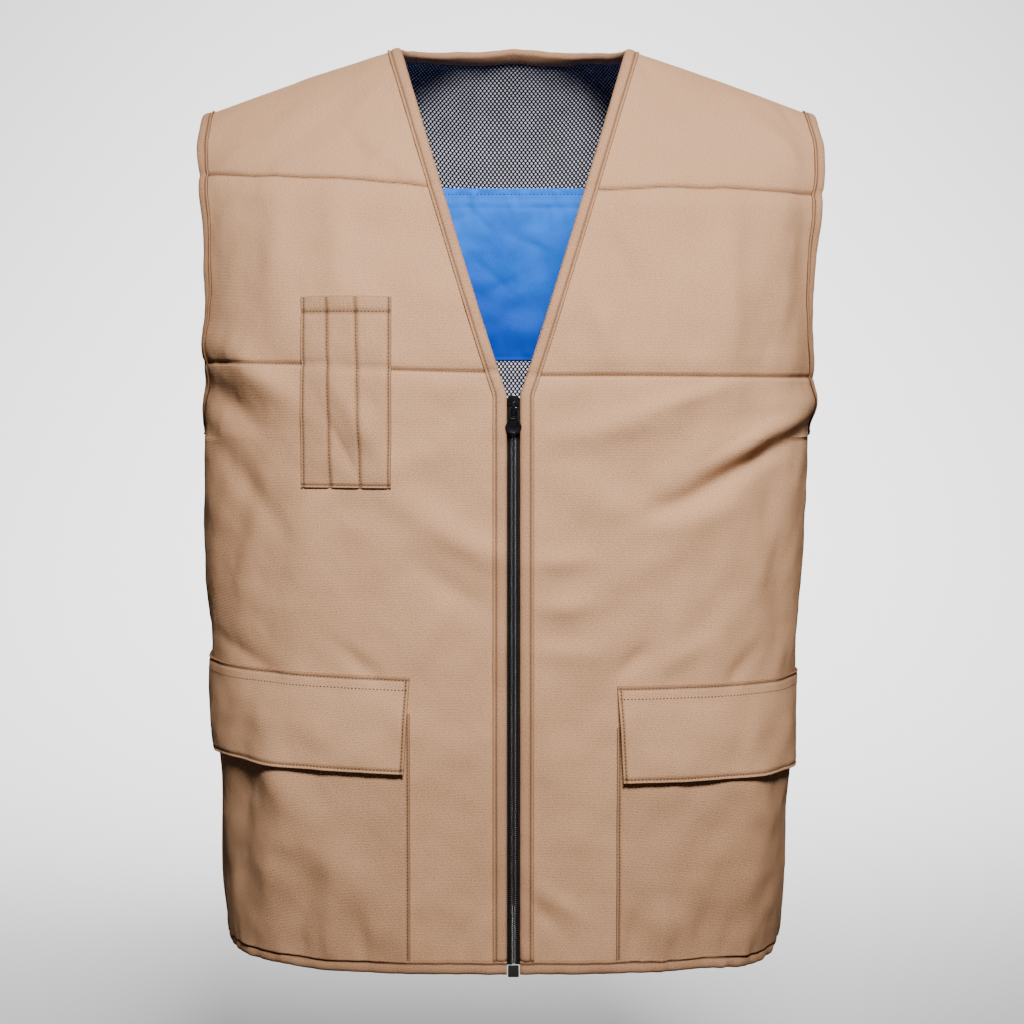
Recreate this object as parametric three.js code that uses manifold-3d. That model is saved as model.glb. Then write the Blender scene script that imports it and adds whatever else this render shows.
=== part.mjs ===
// Sleeveless cooling vest with a V neck, a front zip, a chest pen pocket and two flapped hip pockets.
// Millimetres, +Z up. The front faces -Y and the wearer's left is on +X.
// The pieces are laid out with the hem at zero, and the group sets the origin at the shoulder seat.

import Module from 'manifold-3d';
import * as THREE from 'three';
import { mergeVertices } from 'three/addons/utils/BufferGeometryUtils.js';

const wasm = await Module();
wasm.setup();

// Torso, as the body fills it out
const sideSeam = 385;
const halfWidthRight = 232;
const halfWidthLeft = 230;
const frontDepth = 128;
const backDepth = 125;
const sectionFullness = 2.8;
const hemDip = 6.4;
const hemBow = 4;

// Armholes
const armholeHeight = 227;
const armholeReach = 58;
const armholeTurn = THREE.MathUtils.degToRad(34);

// Shoulders and neck
const shoulderRise = 68.5;
const shoulderSet = 5;
const shoulderBow = 1.2;
const neckHalfWidth = 84;
const neckBackReach = 67;
const neckLineBow = 0.97;
const seatHeight = 650;

// Cloth
const shellWall = 2.2;
const liningWall = 1;
const coolingWall = 1.2;
const pocketWall = 1.2;
const flapWall = 1.8;
const bindingWall = 0.8;
const bindingWidth = 9;
const clearance = 0.3;
const pocketClearance = 0.6;
const seamGap = 0.4;
const clothPitch = 38;

// Folds of the cloth
const foldReach = 60;
const foldSpread = 14;
const foldLift = 4;
const seamCalm = 40;

// Chest pen pocket on the wearer's right
const penPocketFront = 86;
const penPocketSide = 150;
const penPocketBottom = 342;
const penPocketTop = 477;
const penPocketBulge = 1;

// Hip pockets and their flaps
const pocketFront = 72;
const pocketDrop = 29;
const pocketBulge = 2;
const flapFront = 75;
const flapHeight = 68;
const flapTopRight = 211.5;
const flapTopLeft = 201.5;
const flapOpening = 2;

// Cooling panel inside the back
const coolingHalfWidth = 158;
const coolingBottom = 431;
const coolingTop = 565;

// Zip
const zipHeight = 408;
const zipGapHalf = 4.6;
const tapeWall = 0.6;
const tapeWidth = 12;
const tapeFront = 0.9;
const coilHalfWidth = 3.4;
const coilWall = 2.6;
const coilSplit = 0.15;
const retainerHalfWidth = 3.9;
const retainerDrop = 3;
const retainerRise = 5;
const retainerProud = 1.2;

// Zip slider and its pull
const sliderLength = 19;
const sliderHalfWidth = 4.2;
const sliderTailHalfWidth = 3.2;
const sliderPlate = 1.5;
const sliderPost = 2.4;
const sliderPostLength = 4;
const bridgeWidth = 2.2;
const bridgeLength = 9;
const bridgeWall = 1.1;
const pullWall = 1.2;
const pullBar = 1.3;
const pullWindow = 6.2;
const pullLength = 20;
const pullNeckHalf = 3.9;
const pullEndHalf = 5.2;
const pullGap = 0.4;
const pullStandoff = 1.1;

const front = { name: 'front', side: -1 };
const back = { name: 'back', side: 1 };
const right = { name: 'right', side: -1 };
const left = { name: 'left', side: 1 };

const armholeHalfHeight = armholeHeight / 2;
const armholeMiddle = sideSeam + armholeHalfHeight;
const bandLow = sideSeam - bindingWidth;
const tipHeight = sideSeam + armholeHeight;
const openingHalfWidth = zipGapHalf + bindingWall + clearance;

// Offsets from the middle surface of the cloth, outwards
const shellOut = shellWall;
const liningOut = -clearance;
const liningIn = liningOut - liningWall;
const coolingOut = liningIn - clearance;
const bindingOutLow = shellOut + clearance;
const bindingOutHigh = bindingOutLow + bindingWall;
const bindingInHigh = liningIn - clearance;
const bindingInLow = bindingInHigh - bindingWall;
const pocketLow = shellOut + pocketClearance;
const pocketHigh = pocketLow + pocketWall;
const flapLow = pocketHigh + clearance;
const tapeOut = bindingInLow - clearance;
const tapeIn = tapeOut - tapeWall;
const coilIn = tapeOut + clearance;
const coilOut = coilIn + coilWall;

// Widths and depths below the armholes. Rise is a share of the side seam, the rest are shares
// of the half widths and the depths.
const torsoSections = [
  { rise: 0.00, right: 0.922, left: 0.852, front: 0.925, back: 0.92 },
  { rise: 0.12, right: 0.930, left: 0.869, front: 0.950, back: 0.90 },
  { rise: 0.32, right: 0.938, left: 0.879, front: 0.980, back: 0.89 },
  { rise: 0.56, right: 0.968, left: 0.910, front: 0.995, back: 0.90 },
  { rise: 0.76, right: 0.983, left: 0.930, front: 1.000, back: 0.93 },
  { rise: 1.00, right: 0.983, left: 0.948, front: 1.000, back: 0.97 },
];

// The same from the underarm, at swing 0, round the armhole to the shoulder tip, at swing 1
const yokeSections = [
  { swing: 0.000, right: 0.983, left: 0.948, front: 1.000, back: 0.97 },
  { swing: 0.330, right: 0.967, left: 0.948, front: 0.995, back: 1.00 },
  { swing: 0.444, right: 0.961, left: 0.953, front: 0.970, back: 1.00 },
  { swing: 0.544, right: 0.961, left: 0.959, front: 0.896, back: 0.98 },
  { swing: 0.633, right: 0.967, left: 0.964, front: 0.790, back: 0.94 },
  { swing: 0.717, right: 0.978, left: 0.973, front: 0.590, back: 0.87 },
  { swing: 0.789, right: 0.990, left: 0.982, front: 0.383, back: 0.77 },
  { swing: 0.856, right: 0.994, left: 0.980, front: 0.220, back: 0.64 },
  { swing: 0.922, right: 0.994, left: 0.975, front: 0.100, back: 0.43 },
  { swing: 1.000, right: 0.992, left: 0.970, front: 0.000, back: 0.00 },
];

// Where the rows of cloth lie round the armhole, as shares of the swing
const yokeRows = [0.111, 0.223, 0.333, 0.444, 0.544, 0.633, 0.717, 0.789, 0.856, 0.922, 1];

// Folds on the front. Across is a share of the half width, up of the shoulder tip's height,
// lean is in degrees from level, and reach, spread and lift are shares of the fold sizes.
const frontFolds = [
  { across: -0.89, up: 0.660, lean: -38, reach: 0.60, spread: 0.9, lift: -0.9 },
  { across: -0.78, up: 0.690, lean: -40, reach: 0.60, spread: 0.9, lift: 0.7 },
  { across: -0.46, up: 0.630, lean: -58, reach: 0.55, spread: 0.8, lift: 0.5 },
  { across: -0.73, up: 0.845, lean: 90, reach: 0.65, spread: 0.9, lift: 0.5 },
  { across: -0.54, up: 0.850, lean: 90, reach: 0.60, spread: 0.8, lift: 0.4 },
  { across: 0.66, up: 0.790, lean: 90, reach: 1.00, spread: 1.0, lift: 0.6 },
  { across: 0.93, up: 0.825, lean: 88, reach: 0.90, spread: 0.8, lift: -0.5 },
  { across: 0.27, up: 0.750, lean: -72, reach: 0.40, spread: 0.8, lift: 0.4 },
  { across: 0.76, up: 0.620, lean: 27, reach: 0.80, spread: 0.9, lift: 1.0 },
  { across: 0.71, up: 0.580, lean: 27, reach: 0.70, spread: 0.9, lift: -0.7 },
  { across: 0.35, up: 0.632, lean: 14, reach: 0.80, spread: 0.9, lift: 0.5 },
  { across: 0.56, up: 0.524, lean: 19, reach: 0.45, spread: 0.8, lift: 0.4 },
  { across: -0.25, up: 0.493, lean: -26, reach: 0.55, spread: 0.9, lift: 0.5 },
  { across: 0.16, up: 0.420, lean: 0, reach: 0.30, spread: 0.8, lift: 0.4 },
  { across: -0.56, up: 0.045, lean: 90, reach: 0.40, spread: 0.7, lift: 0.5 },
  { across: 0.46, up: 0.045, lean: 90, reach: 0.40, spread: 0.7, lift: 0.5 },
];

const backFolds = [
  { across: 0.00, up: 0.560, lean: 90, reach: 2.40, spread: 2.2, lift: -0.9 },
  { across: -0.55, up: 0.600, lean: 32, reach: 0.90, spread: 1.0, lift: 0.7 },
  { across: 0.58, up: 0.570, lean: -28, reach: 0.90, spread: 1.0, lift: 0.7 },
  { across: -0.48, up: 0.200, lean: 80, reach: 0.90, spread: 0.9, lift: 0.5 },
  { across: 0.42, up: 0.180, lean: 97, reach: 0.90, spread: 0.9, lift: 0.5 },
];

// Cells of cloth across each part of a panel
const cells = { side: 6, chest: 3, middle: 4, backSide: 5, backBlade: 2, backNeck: 8 };
const sideCrowding = 1.2;
const princessEase = 6;
const normalStep = 0.001;
const quarterTurn = Math.PI / 2;
const yokeEase = 0.5;

// How the armhole band turns from facing sideways under the arm to lying on the shoulder
const band = { across: 0.95, ease: 1.3, slope: 0.31 };

// Value of one column of a table between its rows, without corners
function readTable(table, key, column, at) {
  const last = table.length - 1;
  const held = THREE.MathUtils.clamp(at, table[0][key], table[last][key]);
  let k = 0;
  while (k < last - 1 && held > table[k + 1][key]) {
    k += 1;
  }
  const slope = (i) => {
    const low = table[Math.max(i - 1, 0)];
    const high = table[Math.min(i + 1, last)];
    return (high[column] - low[column]) / (high[key] - low[key]);
  };
  const span = table[k + 1][key] - table[k][key];
  const t = (held - table[k][key]) / span;
  const ease = t * t * (3 - 2 * t);
  const leave = t * (1 - t) * (1 - t) * span * slope(k);
  const arrive = t * t * (t - 1) * span * slope(k + 1);
  return table[k][column] * (1 - ease) + table[k + 1][column] * ease + leave + arrive;
}

function halfWidthOf(hand) {
  return hand === right ? halfWidthRight : halfWidthLeft;
}

function depthOf(face) {
  return face === front ? frontDepth : backDepth;
}

// Where to read the yoke's table. Under the arm the rows lie close together, and there it is read
// slowly, so that the cloth has no crease.
function yokeKey(swing) {
  const share = swing / Math.PI;
  if (share >= yokeEase) {
    return share;
  }
  const t = share / yokeEase;
  return yokeEase * t * t * (2 - t);
}

// Edge of the armhole at a swing from 0 under the arm to pi at the shoulder tip
function armholeEdge(face, hand, swing) {
  const key = yokeKey(swing);
  const x = halfWidthOf(hand) * readTable(yokeSections, 'swing', hand.name, key);
  const y = shoulderSet * key + face.side * armholeReach * Math.sin(swing);
  const z = armholeMiddle - armholeHalfHeight * Math.cos(swing);
  return new THREE.Vector3(hand.side * x, y, z);
}

// Direction from the armhole edge into the cloth
function bandDirection(face, hand, swing) {
  const down = Math.max(0, Math.cos(swing));
  const up = band.slope * Math.max(0, -Math.cos(swing));
  const across = band.across * Math.pow(Math.sin(swing / 2), band.ease);
  const along = Math.sqrt(Math.max(0, 1 - across * across - (up - down) * (up - down)));
  return new THREE.Vector3(-hand.side * across, face.side * along, up - down);
}

// How far the front hem hangs below the side seams, fading up the front
function hemDrop(height) {
  return hemDip * Math.pow(Math.max(0, 1 - height / sideSeam), 3);
}

// Turn of the section at the outer line. Low on the armhole it is where the section already has
// the outer line's depth, so that the cloth runs on smoothly from below.
function turnEndOf(row, swing) {
  if (swing <= 0) {
    return quarterTurn;
  }
  const opening = Math.sin(Math.min(swing, quarterTurn));
  const drawn = quarterTurn - armholeTurn * opening * opening;
  if (swing >= quarterTurn) {
    return drawn;
  }
  const plain = Math.acos(Math.pow(Math.abs(row.edgeY / row.centreY), sectionFullness / 2));
  return THREE.MathUtils.lerp(plain, drawn, THREE.MathUtils.smoothstep(swing, 0, quarterTurn));
}

// One level row of a quarter of the vest, from the centre line to the outer line of the cloth.
// Levels 0 to 1 climb the side seam and levels 1 to 2 swing round the armhole.
function clothRow(face, hand, level) {
  const share = Math.max(0, level - 1);
  const swing = Math.PI * share;
  const row = { face, hand, level, bow: shoulderBow };
  if (level <= 1) {
    const height = bandLow * level;
    const rise = height / sideSeam;
    row.edgeX = halfWidthOf(hand) * readTable(torsoSections, 'rise', hand.name, rise);
    row.edgeY = 0;
    row.edgeZ = height;
    row.centreZ = face === front ? height - hemDrop(height) : height;
    row.bow = hemBow;
    row.centreY = face.side * depthOf(face) * readTable(torsoSections, 'rise', face.name, rise);
  } else {
    const edge = armholeEdge(face, hand, swing);
    edge.addScaledVector(bandDirection(face, hand, swing), bindingWidth);
    const key = yokeKey(swing);
    const depth = depthOf(face) * readTable(yokeSections, 'swing', face.name, key);
    row.edgeX = Math.abs(edge.x);
    row.edgeY = edge.y;
    row.edgeZ = edge.z;
    row.centreZ = edge.z + shoulderRise * THREE.MathUtils.smoothstep(share, 0.5, 1);
    row.centreY = shoulderSet * key + face.side * depth;
  }
  row.turnEnd = turnEndOf(row, swing);
  row.sineEnd = Math.pow(Math.sin(row.turnEnd), 2 / sectionFullness);
  row.cosineEnd = Math.pow(Math.max(0, Math.cos(row.turnEnd)), 2 / sectionFullness);
  return row;
}

function heightAt(row, x) {
  return row.centreZ + (row.edgeZ - row.centreZ) * Math.pow(x / row.edgeX, row.bow);
}

function turnAt(row, x) {
  const sine = Math.min(1, (x / row.edgeX) * row.sineEnd);
  return Math.asin(Math.pow(sine, sectionFullness / 2));
}

function pointAt(row, turn) {
  const sine = Math.pow(Math.sin(turn), 2 / sectionFullness);
  const cosine = Math.pow(Math.max(0, Math.cos(turn)), 2 / sectionFullness);
  const x = (row.edgeX * sine) / row.sineEnd;
  const inward = (cosine - row.cosineEnd) / (1 - row.cosineEnd);
  const y = row.edgeY + (row.centreY - row.edgeY) * inward;
  const seam = (row.face.side * seamGap) / 2;
  return new THREE.Vector3(row.hand.side * x, y + seam, heightAt(row, x));
}

// Height of the folds at a point of the cloth, calmed towards the side and shoulder seams
function foldsAt(face, point) {
  const table = face === front ? frontFolds : backFolds;
  let lift = 0;
  for (const fold of table) {
    const lean = THREE.MathUtils.degToRad(fold.lean);
    const dx = point.x - fold.across * halfWidthRight;
    const dz = point.z - fold.up * tipHeight;
    const along = (dx * Math.cos(lean) + dz * Math.sin(lean)) / (fold.reach * foldReach);
    const aside = (dz * Math.cos(lean) - dx * Math.sin(lean)) / (fold.spread * foldSpread);
    lift += fold.lift * foldLift * Math.exp(-aside * aside - along * along);
  }
  return lift * THREE.MathUtils.smoothstep(Math.abs(point.y), 0, seamCalm);
}

function clothVertex(face, point, normal) {
  return { point, normal, lift: foldsAt(face, point) };
}

// Vertex of the cloth at a share of the row's whole turn
function vertexAt(face, hand, level, share) {
  const row = clothRow(face, hand, level);
  const below = clothRow(face, hand, Math.max(0, level - normalStep));
  const above = clothRow(face, hand, Math.min(2, level + normalStep));
  const inner = pointAt(row, Math.max(0, share - normalStep) * row.turnEnd);
  const outer = pointAt(row, Math.min(1, share + normalStep) * row.turnEnd);
  const across = outer.sub(inner);
  const up = pointAt(above, share * above.turnEnd).sub(pointAt(below, share * below.turnEnd));
  const normal = across.cross(up).multiplyScalar(-hand.side * face.side).normalize();
  return clothVertex(face, pointAt(row, share * row.turnEnd), normal);
}

function vertexAcross(face, hand, level, x) {
  const row = clothRow(face, hand, level);
  return vertexAt(face, hand, level, turnAt(row, x) / row.turnEnd);
}

// Vertex on the armhole edge, outside the band
function armholeVertex(face, hand, level) {
  const swing = Math.PI * (level - 1);
  const step = Math.PI * normalStep;
  const before = armholeEdge(face, hand, Math.max(0, swing - step));
  const after = armholeEdge(face, hand, Math.min(Math.PI, swing + step));
  const inward = bandDirection(face, hand, swing);
  const normal = after.sub(before).cross(inward).multiplyScalar(-hand.side * face.side).normalize();
  const point = armholeEdge(face, hand, swing);
  point.y += (face.side * seamGap) / 2;
  return clothVertex(face, point, normal);
}

// Numbers from the first stop to the last, through every stop, in steps near the pitch
function evenSteps(stops, pitch) {
  const list = [stops[0]];
  for (const stop of stops.slice(1)) {
    const from = list[list.length - 1];
    const count = Math.max(1, Math.round((stop - from) / pitch));
    for (let k = 1; k <= count; k += 1) {
      list.push(from + ((stop - from) * k) / count);
    }
  }
  return list;
}

function levelsThrough(heights) {
  const stops = [0, bindingWidth, ...heights, bandLow];
  const body = evenSteps(stops, clothPitch).map((height) => height / bandLow);
  return [...body, ...yokeRows.map((share) => 1 + share)];
}

// Level whose row crosses the front's centre line at a height below the middle of the armhole
function levelOf(height) {
  if (height <= bandLow) {
    let side = height;
    for (let k = 0; k < 8; k += 1) {
      side = height + hemDrop(side);
    }
    return side / bandLow;
  }
  return 1 + Math.acos((armholeMiddle - height) / (armholeHalfHeight + bindingWidth)) / Math.PI;
}

// Half of the front opening where it crosses a row
function openingOf(row) {
  const top = clothRow(row.face, row.hand, 2);
  const neckPoint = heightAt(top, neckHalfWidth);
  let x = openingHalfWidth;
  for (let k = 0; k < 12; k += 1) {
    const climb = (heightAt(row, x) - zipHeight) / (neckPoint - zipHeight);
    const share = Math.pow(THREE.MathUtils.clamp(climb, 0, 1), neckLineBow);
    x = openingHalfWidth + (neckHalfWidth - openingHalfWidth) * share;
  }
  return x;
}

// The line through the flap's front edge, the pen pocket's front edge and the neck
function princessLine(row) {
  const smooth = THREE.MathUtils.smoothstep;
  const chest = smooth(row.centreZ, flapTopRight, penPocketBottom);
  const neck = smooth(row.centreZ, penPocketTop, tipHeight);
  const top = neckHalfWidth + bindingWidth + princessEase;
  const low = flapFront + (penPocketFront - flapFront) * chest;
  return low + (top - low) * neck;
}

// Shares of the turn from the outer line to a line across the cloth, crowded towards the side
function sideShares(row, x, count) {
  const end = turnAt(row, x) / row.turnEnd;
  return evenSteps([0, 1], 1 / count).map((k) => 1 - (1 - end) * Math.pow(k, sideCrowding));
}

function frontGrid(hand, heights) {
  return levelsThrough(heights).map((level) => {
    const row = clothRow(front, hand, level);
    const edge = openingOf(row);
    const princess = princessLine(row);
    const line = [];
    for (const share of sideShares(row, penPocketSide, cells.side)) {
      line.push(vertexAt(front, hand, level, share));
    }
    for (let k = 1; k <= cells.chest; k += 1) {
      const x = THREE.MathUtils.lerp(penPocketSide, princess, k / cells.chest);
      line.push(vertexAcross(front, hand, level, x));
    }
    for (let k = 1; k <= cells.middle; k += 1) {
      const x = THREE.MathUtils.lerp(princess, edge + bindingWidth, k / cells.middle);
      line.push(vertexAcross(front, hand, level, x));
    }
    line.push(vertexAcross(front, hand, level, edge));
    return line;
  });
}

// Level at which a line up the back meets the neck curve
function neckLevel(x, halfWidth, reach) {
  const share = Math.min(1, Math.abs(x) / halfWidth);
  const target = shoulderSet + reach * Math.sqrt(1 - share * share);
  const hand = x < 0 ? right : left;
  let low = 1.5;
  let high = 2;
  for (let k = 0; k < 40; k += 1) {
    const level = (low + high) / 2;
    const row = clothRow(back, hand, level);
    if (pointAt(row, turnAt(row, Math.abs(x))).y > target) {
      low = level;
    } else {
      high = level;
    }
  }
  return high;
}

const neckBandHalf = neckHalfWidth + bindingWidth;
const neckBandReach = neckBackReach + bindingWidth;
const neckTurns = evenSteps([-quarterTurn, quarterTurn], Math.PI / cells.backNeck);
const backRows = levelsThrough([]);

// One line of vertices up the back at a distance from the centre line
function backLine(x) {
  const hand = x < 0 ? right : left;
  const top = Math.abs(x) < neckBandHalf ? neckLevel(x, neckBandHalf, neckBandReach) : 2;
  return backRows.map((level) => {
    const above = Math.max(0, level - 1.5);
    const held = Math.min(level, 1.5) + above * 2 * (top - 1.5);
    return vertexAcross(back, hand, held, Math.abs(x));
  });
}

function backSideLines(hand) {
  const lines = evenSteps([0, 1], 1 / cells.backSide).map(() => []);
  for (const level of backRows) {
    const row = clothRow(back, hand, level);
    sideShares(row, penPocketSide, cells.backSide).forEach((share, k) => {
      lines[k].push(vertexAt(back, hand, level, share));
    });
  }
  return lines;
}

function backGrid() {
  const blade = evenSteps([penPocketSide, neckBandHalf], (penPocketSide - neckBandHalf) / cells.backBlade);
  const bladeXs = blade.slice(1, -1);
  const lines = [
    ...backSideLines(right),
    ...bladeXs.map((x) => backLine(-x)),
    ...neckTurns.map((turn) => backLine(neckBandHalf * Math.sin(turn))),
    ...bladeXs.map((x) => backLine(x)).reverse(),
    ...backSideLines(left).reverse(),
  ];
  return backRows.map((level, i) => lines.map((line) => line[i]));
}

// The strip of cloth under the armhole binding: the edge beside the outer line
function armholeStrip(face, hand, rows, column) {
  const strip = [];
  rows.levels.forEach((level, i) => {
    if (level >= 1) {
      strip.push([armholeVertex(face, hand, level), rows.grid[i][column]]);
    }
  });
  return strip;
}

const rightHeights = [
  flapTopRight - flapHeight,
  flapTopRight - pocketDrop,
  flapTopRight,
  penPocketBottom,
];
const leftHeights = [
  flapTopLeft - flapHeight,
  flapTopLeft - pocketDrop,
  flapTopLeft,
  penPocketBottom,
];
const rightRows = { levels: levelsThrough(rightHeights), grid: frontGrid(right, rightHeights) };
const leftRows = { levels: levelsThrough(leftHeights), grid: frontGrid(left, leftHeights) };
const backCloth = { levels: backRows, grid: backGrid() };
const lastBack = backCloth.grid[0].length - 1;

const strips = {
  frontRight: armholeStrip(front, right, rightRows, 0),
  frontLeft: armholeStrip(front, left, leftRows, 0),
  backRight: armholeStrip(back, right, backCloth, 0),
  backLeft: armholeStrip(back, left, backCloth, lastBack),
};

const neckColumn = (lastBack - cells.backNeck) / 2;
const neckTop = backCloth.grid[backRows.length - 1].slice(neckColumn, neckColumn + cells.backNeck + 1);
const neckCurve = neckTurns.map((turn) => {
  const x = neckHalfWidth * Math.sin(turn);
  const hand = x < 0 ? right : left;
  return vertexAcross(back, hand, neckLevel(x, neckHalfWidth, neckBackReach), Math.abs(x));
});

// A closed body from corners and faces, turned so that its faces look outwards
function closedBody(corners, triangles) {
  let volume = 0;
  for (const [a, b, c] of triangles) {
    volume += corners[a].dot(corners[b].clone().cross(corners[c]));
  }
  const turned = volume < 0 ? triangles.map(([a, b, c]) => [a, c, b]) : triangles;
  const geometry = new THREE.BufferGeometry();
  const positions = corners.flatMap((corner) => corner.toArray());
  geometry.setAttribute('position', new THREE.Float32BufferAttribute(positions, 3));
  geometry.setIndex(turned.flat());
  return geometry;
}

function offsetPoint(vertex, offset) {
  return vertex.point.clone().addScaledVector(vertex.normal, offset + vertex.lift);
}

// Cloth of even thickness over blocks of vertices, which share their common vertices. Each cell
// is split along its short diagonal, so that layers over the same cells stay parallel.
function clothSolid(blocks, low, high) {
  const places = new Map();
  const quads = [];
  for (const block of blocks) {
    for (const vertex of block.flat()) {
      if (!places.has(vertex)) {
        places.set(vertex, places.size);
      }
    }
    for (let i = 0; i + 1 < block.length; i += 1) {
      for (let j = 0; j + 1 < block[i].length; j += 1) {
        const ring = [block[i][j], block[i][j + 1], block[i + 1][j + 1], block[i + 1][j]];
        quads.push(ring.map((vertex) => places.get(vertex)));
      }
    }
  }
  const vertices = [...places.keys()];
  const count = vertices.length;
  const span = (a, b) => vertices[a].point.distanceTo(vertices[b].point);
  const corners = [
    ...vertices.map((vertex) => offsetPoint(vertex, high)),
    ...vertices.map((vertex) => offsetPoint(vertex, low)),
  ];
  const edges = new Set();
  for (const quad of quads) {
    quad.forEach((a, k) => edges.add(`${a} ${quad[(k + 1) % 4]}`));
  }
  const triangles = [];
  for (const quad of quads) {
    const short = span(quad[0], quad[2]) <= span(quad[1], quad[3]);
    const [a, b, c, d] = short ? quad : [quad[1], quad[2], quad[3], quad[0]];
    triangles.push([a, b, c], [a, c, d]);
    triangles.push([c + count, b + count, a + count], [d + count, c + count, a + count]);
    quad.forEach((from, k) => {
      const to = quad[(k + 1) % 4];
      if (!edges.has(`${to} ${from}`)) {
        triangles.push([to, from, from + count], [to, from + count, to + count]);
      }
    });
  }
  return closedBody(corners, triangles);
}

// Folded tape over an edge. Each station has the vertex on the edge and the one inside it.
function bindingSolid(stations, closed) {
  const corners = [];
  for (const { edge, inner } of stations) {
    const out = edge.point.clone().sub(inner.point).normalize();
    const reach = (distance, offset) => offsetPoint(edge, offset).addScaledVector(out, distance);
    const start = (offset) => offsetPoint(inner, offset).addScaledVector(out, clearance);
    const far = clearance + bindingWall;
    corners.push(start(bindingOutHigh), reach(far, bindingOutHigh));
    corners.push(reach(far, bindingInLow), start(bindingInLow));
    corners.push(start(bindingInHigh), reach(clearance, bindingInHigh));
    corners.push(reach(clearance, bindingOutLow), start(bindingOutLow));
  }
  const size = 8;
  const triangles = [];
  const links = closed ? stations.length : stations.length - 1;
  for (let i = 0; i < links; i += 1) {
    const ahead = (i + 1) % stations.length;
    const here = i * size;
    const next = ahead * size;
    const outward = stations[i].edge.point.distanceTo(stations[ahead].inner.point);
    const inward = stations[i].inner.point.distanceTo(stations[ahead].edge.point);
    for (let k = 0; k < size; k += 1) {
      const m = (k + 1) % size;
      if ((outward <= inward) === (k % 4 === 2)) {
        triangles.push([here + k, here + m, next + m], [here + k, next + m, next + k]);
      } else {
        triangles.push([here + k, here + m, next + k], [here + m, next + m, next + k]);
      }
    }
  }
  if (!closed) {
    const last = (stations.length - 1) * size;
    for (const [a, b, c, d] of [[0, 1, 6, 7], [1, 2, 5, 6], [2, 3, 4, 5]]) {
      triangles.push([c, b, a], [d, c, a]);
      triangles.push([last + a, last + b, last + c], [last + a, last + c, last + d]);
    }
  }
  return closedBody(corners, triangles);
}

// Vertex between those of a grid, by row and column numbers that may hold parts
function sampleGrid(grid, i, j) {
  const row = Math.min(Math.floor(i), grid.length - 2);
  const column = Math.min(Math.floor(j), grid[0].length - 2);
  const up = i - row;
  const along = j - column;
  const vertex = { point: new THREE.Vector3(), normal: new THREE.Vector3(), lift: 0 };
  const parts = [
    [grid[row][column], (1 - up) * (1 - along)],
    [grid[row][column + 1], (1 - up) * along],
    [grid[row + 1][column], up * (1 - along)],
    [grid[row + 1][column + 1], up * along],
  ];
  for (const [corner, weight] of parts) {
    vertex.point.addScaledVector(corner.point, weight);
    vertex.normal.addScaledVector(corner.normal, weight);
    vertex.lift += corner.lift * weight;
  }
  return vertex;
}

// Both ends and every whole number between them
function wholeSteps(from, to) {
  const list = [from];
  for (let k = Math.floor(from) + 1; k < to; k += 1) {
    list.push(k);
  }
  list.push(to);
  return list;
}

// Row number at a height, counted on one column of a grid
function rowAt(grid, column, height) {
  let i = 0;
  while (i < grid.length - 2 && grid[i + 1][column].point.z < height) {
    i += 1;
  }
  const from = grid[i][column].point.z;
  return i + (height - from) / (grid[i + 1][column].point.z - from);
}

// Column number at a distance from the centre line, counted on one row of a grid
function columnAt(grid, row, x) {
  const line = grid[row];
  let j = 0;
  while (j < line.length - 2 && Math.abs(line[j + 1].point.x) > x) {
    j += 1;
  }
  const from = Math.abs(line[j].point.x);
  return j + (from - x) / (from - Math.abs(line[j + 1].point.x));
}

function cutGrid(grid, rows, columns, liftRule) {
  return rows.map((i) => columns.map((j) => {
    const vertex = sampleGrid(grid, i, j);
    vertex.lift += liftRule(i, j);
    return vertex;
  }));
}

function hump(at, from, to) {
  const share = THREE.MathUtils.clamp((at - from) / (to - from), 0, 1);
  return Math.sin(Math.PI * share);
}

// Hip pocket and flap of one hand, both swollen by the same shallow hump
function hipPocket(cloth, flapTop) {
  const grid = cloth.grid;
  const low = 1;
  const flapEnd = rowAt(grid, 0, flapTop);
  const flapStart = rowAt(grid, 0, flapTop - flapHeight);
  const mouth = rowAt(grid, 0, flapTop - pocketDrop);
  const pocketEnd = columnAt(grid, low, pocketFront);
  const flapSide = columnAt(grid, low, flapFront);
  const swell = (i, j) => pocketBulge * hump(i, low, flapEnd) * hump(j, 0, pocketEnd);
  const opened = (i, j) => {
    const drop = (flapEnd - i) / (flapEnd - flapStart);
    return swell(i, j) + flapOpening * drop * drop;
  };
  const pocket = cutGrid(grid, wholeSteps(low, mouth), wholeSteps(0, pocketEnd), swell);
  const flap = cutGrid(grid, wholeSteps(flapStart, flapEnd), wholeSteps(0, flapSide), opened);
  return {
    pocket: clothSolid([pocket], pocketLow, pocketHigh),
    flap: clothSolid([flap], flapLow, flapLow + flapWall),
  };
}

function penPocket(cloth) {
  const grid = cloth.grid;
  const side = cells.side;
  const end = cells.side + cells.chest;
  const low = rowAt(grid, side, penPocketBottom);
  const high = rowAt(grid, side + 1, penPocketTop);
  const swell = (i, j) => penPocketBulge * hump(i, low, high) * hump(j, side, end);
  const patch = cutGrid(grid, wholeSteps(low, high), wholeSteps(side, end), swell);
  return clothSolid([patch], pocketLow, pocketHigh);
}

function coolingPanel(cloth) {
  const grid = cloth.grid;
  const middle = lastBack / 2;
  const low = rowAt(grid, middle, coolingBottom);
  const high = rowAt(grid, middle, coolingTop);
  const row = Math.round(low);
  const start = columnAt(grid, row, coolingHalfWidth);
  const patch = cutGrid(grid, wholeSteps(low, high), wholeSteps(start, lastBack - start), () => 0);
  return clothSolid([patch], coolingOut - coolingWall, coolingOut);
}

function frontPanel(cloth, strip) {
  return clothSolid([cloth.grid, strip], liningIn, shellOut);
}

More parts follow.
